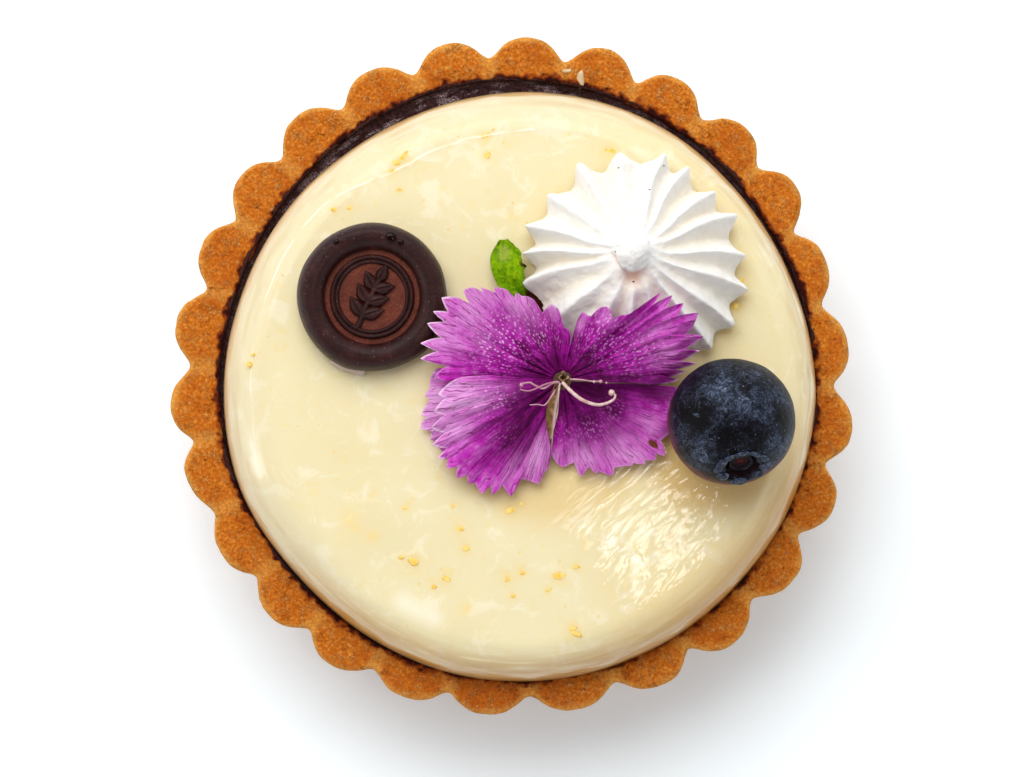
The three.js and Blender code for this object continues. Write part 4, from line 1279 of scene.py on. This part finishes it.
def make_styles(finish):
    """The curled style with its bulb, short ones, and thin stamens that lie on the petals."""
    origin = np.array((*FLOWER, 0))

    def piece(name, strands, bulbs, rosy, first_seed, replaced=()):
        grids = [rod_grid(np.array(line) + origin, radii, steps) for line, radii, steps, _ in strands]
        for seed, (centre, size) in enumerate(bulbs, first_seed):
            grids.append(lump_grid(centre + origin, (size, size, size * 0.9), seed, 0.12, 16, 10))
        shares = [strand[3] for strand in strands] + [rosy] * len(bulbs)
        joined_piece(name, grids, finish, replaced, {"rosy": shares})

    piece("curled_style", [CURLED_STYLE], [((5.9, -1.65, 32.6), 0.8)], 0.0, 81, ["style_curled"])
    piece("short_style", SHORT_STYLE, [((-4.95, -0.7, 32.6), 0.5)], 0.7, 82, ["style_short"])
    piece("stamens", STAMENS, ANTHERS, 0.4, 83)


# ---------------------------------------------------------------- leaf and small things


def make_leaf(finish):
    """The leaf, bright at its round tip; its far end turns under the petals, painted darker green there as
    shade, and ends in dark brown.
    """
    rows = 90
    along = np.linspace(0, 1, rows)[:, None]
    across = np.linspace(-1, 1, 33)
    middle_line = [(-1.1, 16.35, 0), (-0.75, 13.4, 0), (-0.1, 11.0, 0), (1.6, 9.0, 0), (4.4, 7.6, 0)]
    line, _ = smooth_line(middle_line, rows)
    half = between((0.55, 1.75, 1.98, 1.75, 1.35, 1.1, 1.0, 0.6), along)
    ragged = 0.22 * noise(stacked(along * 16, across, 0), 1, 91, 2)
    direction = np.gradient(line, axis=0)
    direction /= np.linalg.norm(direction, axis=-1, keepdims=True)
    offset = across * half * (1 + ragged * (across > 0.5))
    aside = stacked(-direction[:, 1:2] * offset, direction[:, :1] * offset, 0)
    place = line[:, None] + aside + (*CASE_AXIS, 0)
    cup = 0.35 * across**2 - 0.22 * bell(across / 0.18)
    blister = 0.14 * noise(place, 1.2, 92, 2)
    rise = 0.5 * ease(0, 0.4, along) - 0.4 * ease(0.55, 0.9, along)
    place[..., 2] = bottom("leaf") + 0.55 + cup + blister + rise
    rough_edge = noise(place, 1.0, 93, 2)
    bleached = bell((along - 0.13) / 0.07) * bell((across + 0.1) / 0.35) * np.exp(0.6 * rough_edge)
    fields = {
        "brown": strongest(
            ease(0.84, 0.96, across + 0.3 * rough_edge) * ease(0.2, 0.32, along),
            ease(0.6, 0.72, along + 0.06 * rough_edge),
        ),
        "shaded_tail": 0.8 * ease(0.35, 0.6, along),
        "bleached": np.clip(bleached, 0, 0.5),
    }
    sheet_piece("green_leaf", place, (0, 0, 0.16), finish, ["leaf"], fields)


def make_zest(finish):
    """Lemon zest in the glaze: the plain flecks first, then small ones anywhere."""
    chance = random.Random(12)
    flecks = list(FLECKS)
    while len(flecks) < 85:
        bearing, distance = chance.uniform(0, TURN), 31 * math.sqrt(chance.random())
        size = chance.uniform(0.15, 0.35)
        x, y = distance * math.cos(bearing), distance * math.sin(bearing)
        flecks.append((x, y, size, size * chance.uniform(0.5, 0.9), chance.uniform(0, 180)))
    grids = []
    for seed, (x, y, length, width, bearing) in enumerate(flecks):
        grid = lump_grid((0, 0, 0), (length * 0.95, width * 0.95, 0.07), seed, 0.45, 18, 8)
        centre = np.array([[x, y, 0.0]]) + (*CASE_AXIS, 0)
        centre[:, 2] = cream_top(centre) - 0.012
        grids.append(spun(grid, math.radians(bearing)) + centre)
    joined_piece("lemon_zest", grids, finish)


def make_crumbs(finish):
    """Crumbs of pastry on the rim."""
    chance = random.Random(5)
    grids = []
    for seed in range(70):
        bearing, distance = chance.uniform(0, TURN), chance.uniform(38.3, 39.4)
        size = chance.uniform(0.18, 0.5)
        centre = turned(distance, bearing, RIM_TOP + 0.1) + (*CASE_AXIS, 0)
        grids.append(lump_grid(centre, (size, size * 0.8, size * 0.6), seed, 0.4, 8, 5))
    joined_piece("pastry_crumbs", grids, finish)


def make_flake(finish):
    """A pale flake that hangs over the compote, and a chip beside it."""
    flake = tilted(lump_grid((0, 0, 0), (1.0, 2.6, 0.6), 7, 0.4, 24, 16), 0.35, math.radians(-80))
    flake += (*(CASE_AXIS + (8.5, 37.6)), RIM_TOP + 0.1)
    chip = lump_grid((*(CASE_AXIS + (6.9, 38.6)), RIM_TOP + 0.15), (1.3, 0.5, 0.3), 9, 0.4, 16, 10)
    joined_piece("pale_flake", [flake, chip], finish)


def surface_points(piece):
    """All the points of a piece, in millimetres."""
    mesh = bpy.data.objects[piece].data
    points = np.empty(len(mesh.vertices) * 3)
    mesh.vertices.foreach_get("co", points)
    return points.reshape(-1, 3) / MM


def make_specks(finish):
    """Vanilla specks in the meringue."""
    points = surface_points("piped_meringue")
    grids = []
    for seed, place in enumerate([(-1.9, 12.0), (1.8, 8.9), (-0.3, -2.5), (-2.5, 1.0), (3.6, 12.2)]):
        gap = apart(points, *(MERINGUE_AXIS + place)) - 0.02 * points[:, 2]
        grids.append(lump_grid(points[gap.argmin()], (0.26, 0.2, 0.16), seed, 0.3, 8, 5))
    joined_piece("vanilla_specks", grids, finish)


def draped(points, places):
    """The height of a surface's points around each place, its four nearest ones weighed by distance."""
    gaps = apart(points, places[..., :1], places[..., 1:2]) + 0.01
    nearest = np.argpartition(gaps, 4, axis=-1)[..., :4]
    weight = 1 / np.take_along_axis(gaps, nearest, -1) ** 2
    return (points[nearest, 2] * weight).sum(-1) / weight.sum(-1)


# Drops of water on the seal: [x, y, size, height].
DROPS = ((2.3, 7.0, 1.6, 0.22), (3.5, 6.4, 0.9, 0.14), (-4.3, 6.5, 0.8, 0.12))


def make_droplets(finish):
    """Drops of water that lie on the seal's ring."""
    seal = surface_points("seal_of_chocolate")
    angle = ring_angles(30)
    out = np.sin(np.linspace(1, 0.03, 14) * RIGHT_ANGLE)[:, None]
    grids = []
    for seed, (x, y, size, tall) in enumerate(DROPS):
        centre = SEAL[:2] + (x, y)
        near = seal[(apart(seal, *centre) < size) & (seal[:, 2] > SEAL_BOTTOM + 1.5)]
        edge = size / 2 * (1 + 0.16 * noise(turned(1.0, angle, seed * 5.0), 0.9, 98, 2))
        grid = turned(out * edge, angle, 0.0)
        grid[..., :2] += centre
        grid[..., 2] = draped(near, grid) + tall * np.sqrt(np.clip(1 - out**2, 0, None)) - 0.03
        grids.append(grid)
    joined_piece("water_drops", grids, finish)


def make_seal_film(finish):
    """A torn film of glaze at the seal's front edge."""
    bearing = np.radians(np.linspace(236, 264, 60))
    out = np.linspace(-0.6, 1, 12)[:, None]
    torn = stacked(bearing * 9, out, 0)
    reach = RING_OUTER + (0.5 + 0.3 * noise(torn, 1.1, 95, 2)) * out
    height = 0.65 - 0.5 * ease(-0.3, 1, out) + 0.08 * noise(torn, 0.7, 96, 2)
    place = turned(reach, bearing, height) + (SEAL[0], SEAL[1], CREAM_TOP)
    sheet_piece("glaze_film", place, (0, 0, 0.07), finish)


# ---------------------------------------------------------------- stage, light and camera


FLOOR_HALF = 0.9


def make_floor():
    mesh = bpy.data.meshes.new("floor")
    floor_corners = [(x * FLOOR_HALF, y * FLOOR_HALF, 0) for x, y in ((-1, -1), (1, -1), (1, 1), (-1, 1))]
    mesh.from_pydata(floor_corners, [], [(0, 1, 2, 3)])
    floor = bpy.data.objects.new("floor", mesh)
    bpy.context.scene.collection.objects.link(floor)
    glow = {"Emission_Color": (0.8, 0.95, 1.0, 1.0), "Emission_Strength": 0.16}
    finish = Finish("pale_floor", Base_Color=(0.88, 0.94, 0.98, 1.0), Roughness=0.9, **glow)
    mesh.materials.append(finish.material)


def aimed(obj, place, target):
    obj.location = Vector(place)
    obj.rotation_euler = (Vector(target) - Vector(place)).to_track_quat("-Z", "Y").to_euler()


def make_light(name, place, target, size, power, colour=(1, 1, 1), roll=0.0):
    lamp = bpy.data.lights.new(name, "AREA")
    lamp.shape = "RECTANGLE"
    lamp.size, lamp.size_y = size
    lamp.energy = power
    lamp.color = colour
    obj = bpy.data.objects.new(name, lamp)
    bpy.context.scene.collection.objects.link(obj)
    aimed(obj, place, target)
    obj.rotation_euler.rotate_axis("Z", roll)
    return obj


def make_world():
    """A studio that is bright low down and dark overhead, where the photographer stands."""
    world = bpy.data.worlds.new("studio")
    world.use_nodes = True
    tree = world.node_tree
    background = tree.nodes["Background"]
    coordinates = tree.nodes.new("ShaderNodeTexCoord")
    axes = tree.nodes.new("ShaderNodeSeparateXYZ")
    overhead = tree.nodes.new("ShaderNodeMapRange")
    overhead.interpolation_type = "SMOOTHSTEP"
    for socket, value in {"From Min": 0.60, "From Max": 0.93, "To Min": 0.70, "To Max": 0.04}.items():
        overhead.inputs[socket].default_value = value
    tree.links.new(coordinates.outputs["Generated"], axes.inputs[0])
    tree.links.new(axes.outputs["Z"], overhead.inputs["Value"])
    tree.links.new(overhead.outputs["Result"], background.inputs["Strength"])
    background.inputs["Color"].default_value = (1.0, 1.0, 1.0, 1.0)
    bpy.context.scene.world = world


def make_lights():
    """A broad window that lights from the back left, and lamps that mostly show in the gloss."""
    view = bpy.context.scene.view_settings
    view.view_transform = "Standard"
    view.look = "None"
    tart = (0, 0, 0.02)
    warm_white = (1.0, 0.99, 0.97)
    window_light = make_light("window", (-0.17, 0.50, 0.85), tart, (1.05, 0.85), 7.9, warm_white)
    window_light.visible_glossy = False
    make_light("window_shine", (-0.165, 0.485, 0.825), tart, (0.72, 0.56), 2.5, warm_white)
    make_light("side_shine", (-0.70, -0.16, 0.42), tart, (0.10, 0.30), 0.3)
    glossy_place = (0.0195, -0.0235, 0.0268)
    make_light("glint", (0.084, -0.055, 0.627), glossy_place, (0.090, 0.042), 0.085, roll=0.75)
    make_light("faint_glint", (0.060, -0.022, 0.627), glossy_place, (0.070, 0.036), 0.03, roll=0.75)


CAMERA_ELEVATION = math.radians(86)
CAMERA_DISTANCE = 0.42
CAMERA_TARGET = (0.000636, -0.001237, 0.0185)  # from the case's axis
CAMERA_LENS = 117.13


def make_camera():
    """A long lens high over the front of the tartlet."""
    target = Vector(CAMERA_TARGET) + Vector((*(CASE_AXIS * MM), 0))
    lens = bpy.data.cameras.new("camera")
    lens.sensor_width = 36
    lens.lens = CAMERA_LENS
    camera = bpy.data.objects.new("camera", lens)
    bpy.context.scene.collection.objects.link(camera)
    back = Vector((0, -math.cos(CAMERA_ELEVATION), math.sin(CAMERA_ELEVATION)))
    aimed(camera, target + back * CAMERA_DISTANCE, target)
    bpy.context.scene.camera = camera


make_camera()
make_world()
make_lights()
make_floor()
crust, calyx, petal = crust_finish(), calyx_finish(), petal_finish()
make_crust(crust)
make_compote(compote_finish())
make_cream(cream_finish())
make_seal(chocolate_finish())
make_meringue(meringue_finish())
make_berry(berry_finish())
make_crown(crown_finish())
for number, (petal_name, shape) in enumerate(PETALS.items()):
    make_petal(petal_name, petal, 100 + 10 * number, **shape)
make_throat(calyx)
make_sepal(calyx)
make_styles(style_finish())
make_leaf(leaf_finish())
make_zest(zest_finish())
make_crumbs(crust)
make_flake(plain_finish("pale_flake", (226, 200, 158), 0.6, 0.8))
make_specks(plain_finish("vanilla_speck", (58, 34, 30), 0.6))
make_droplets(plain_finish("wet_chocolate", (26, 4, 4), 0.12, Specular_IOR_Level=0.25))
make_seal_film(plain_finish("glaze_film", (216, 190, 178), 0.3, 0.5, Coat_Weight=0.4))
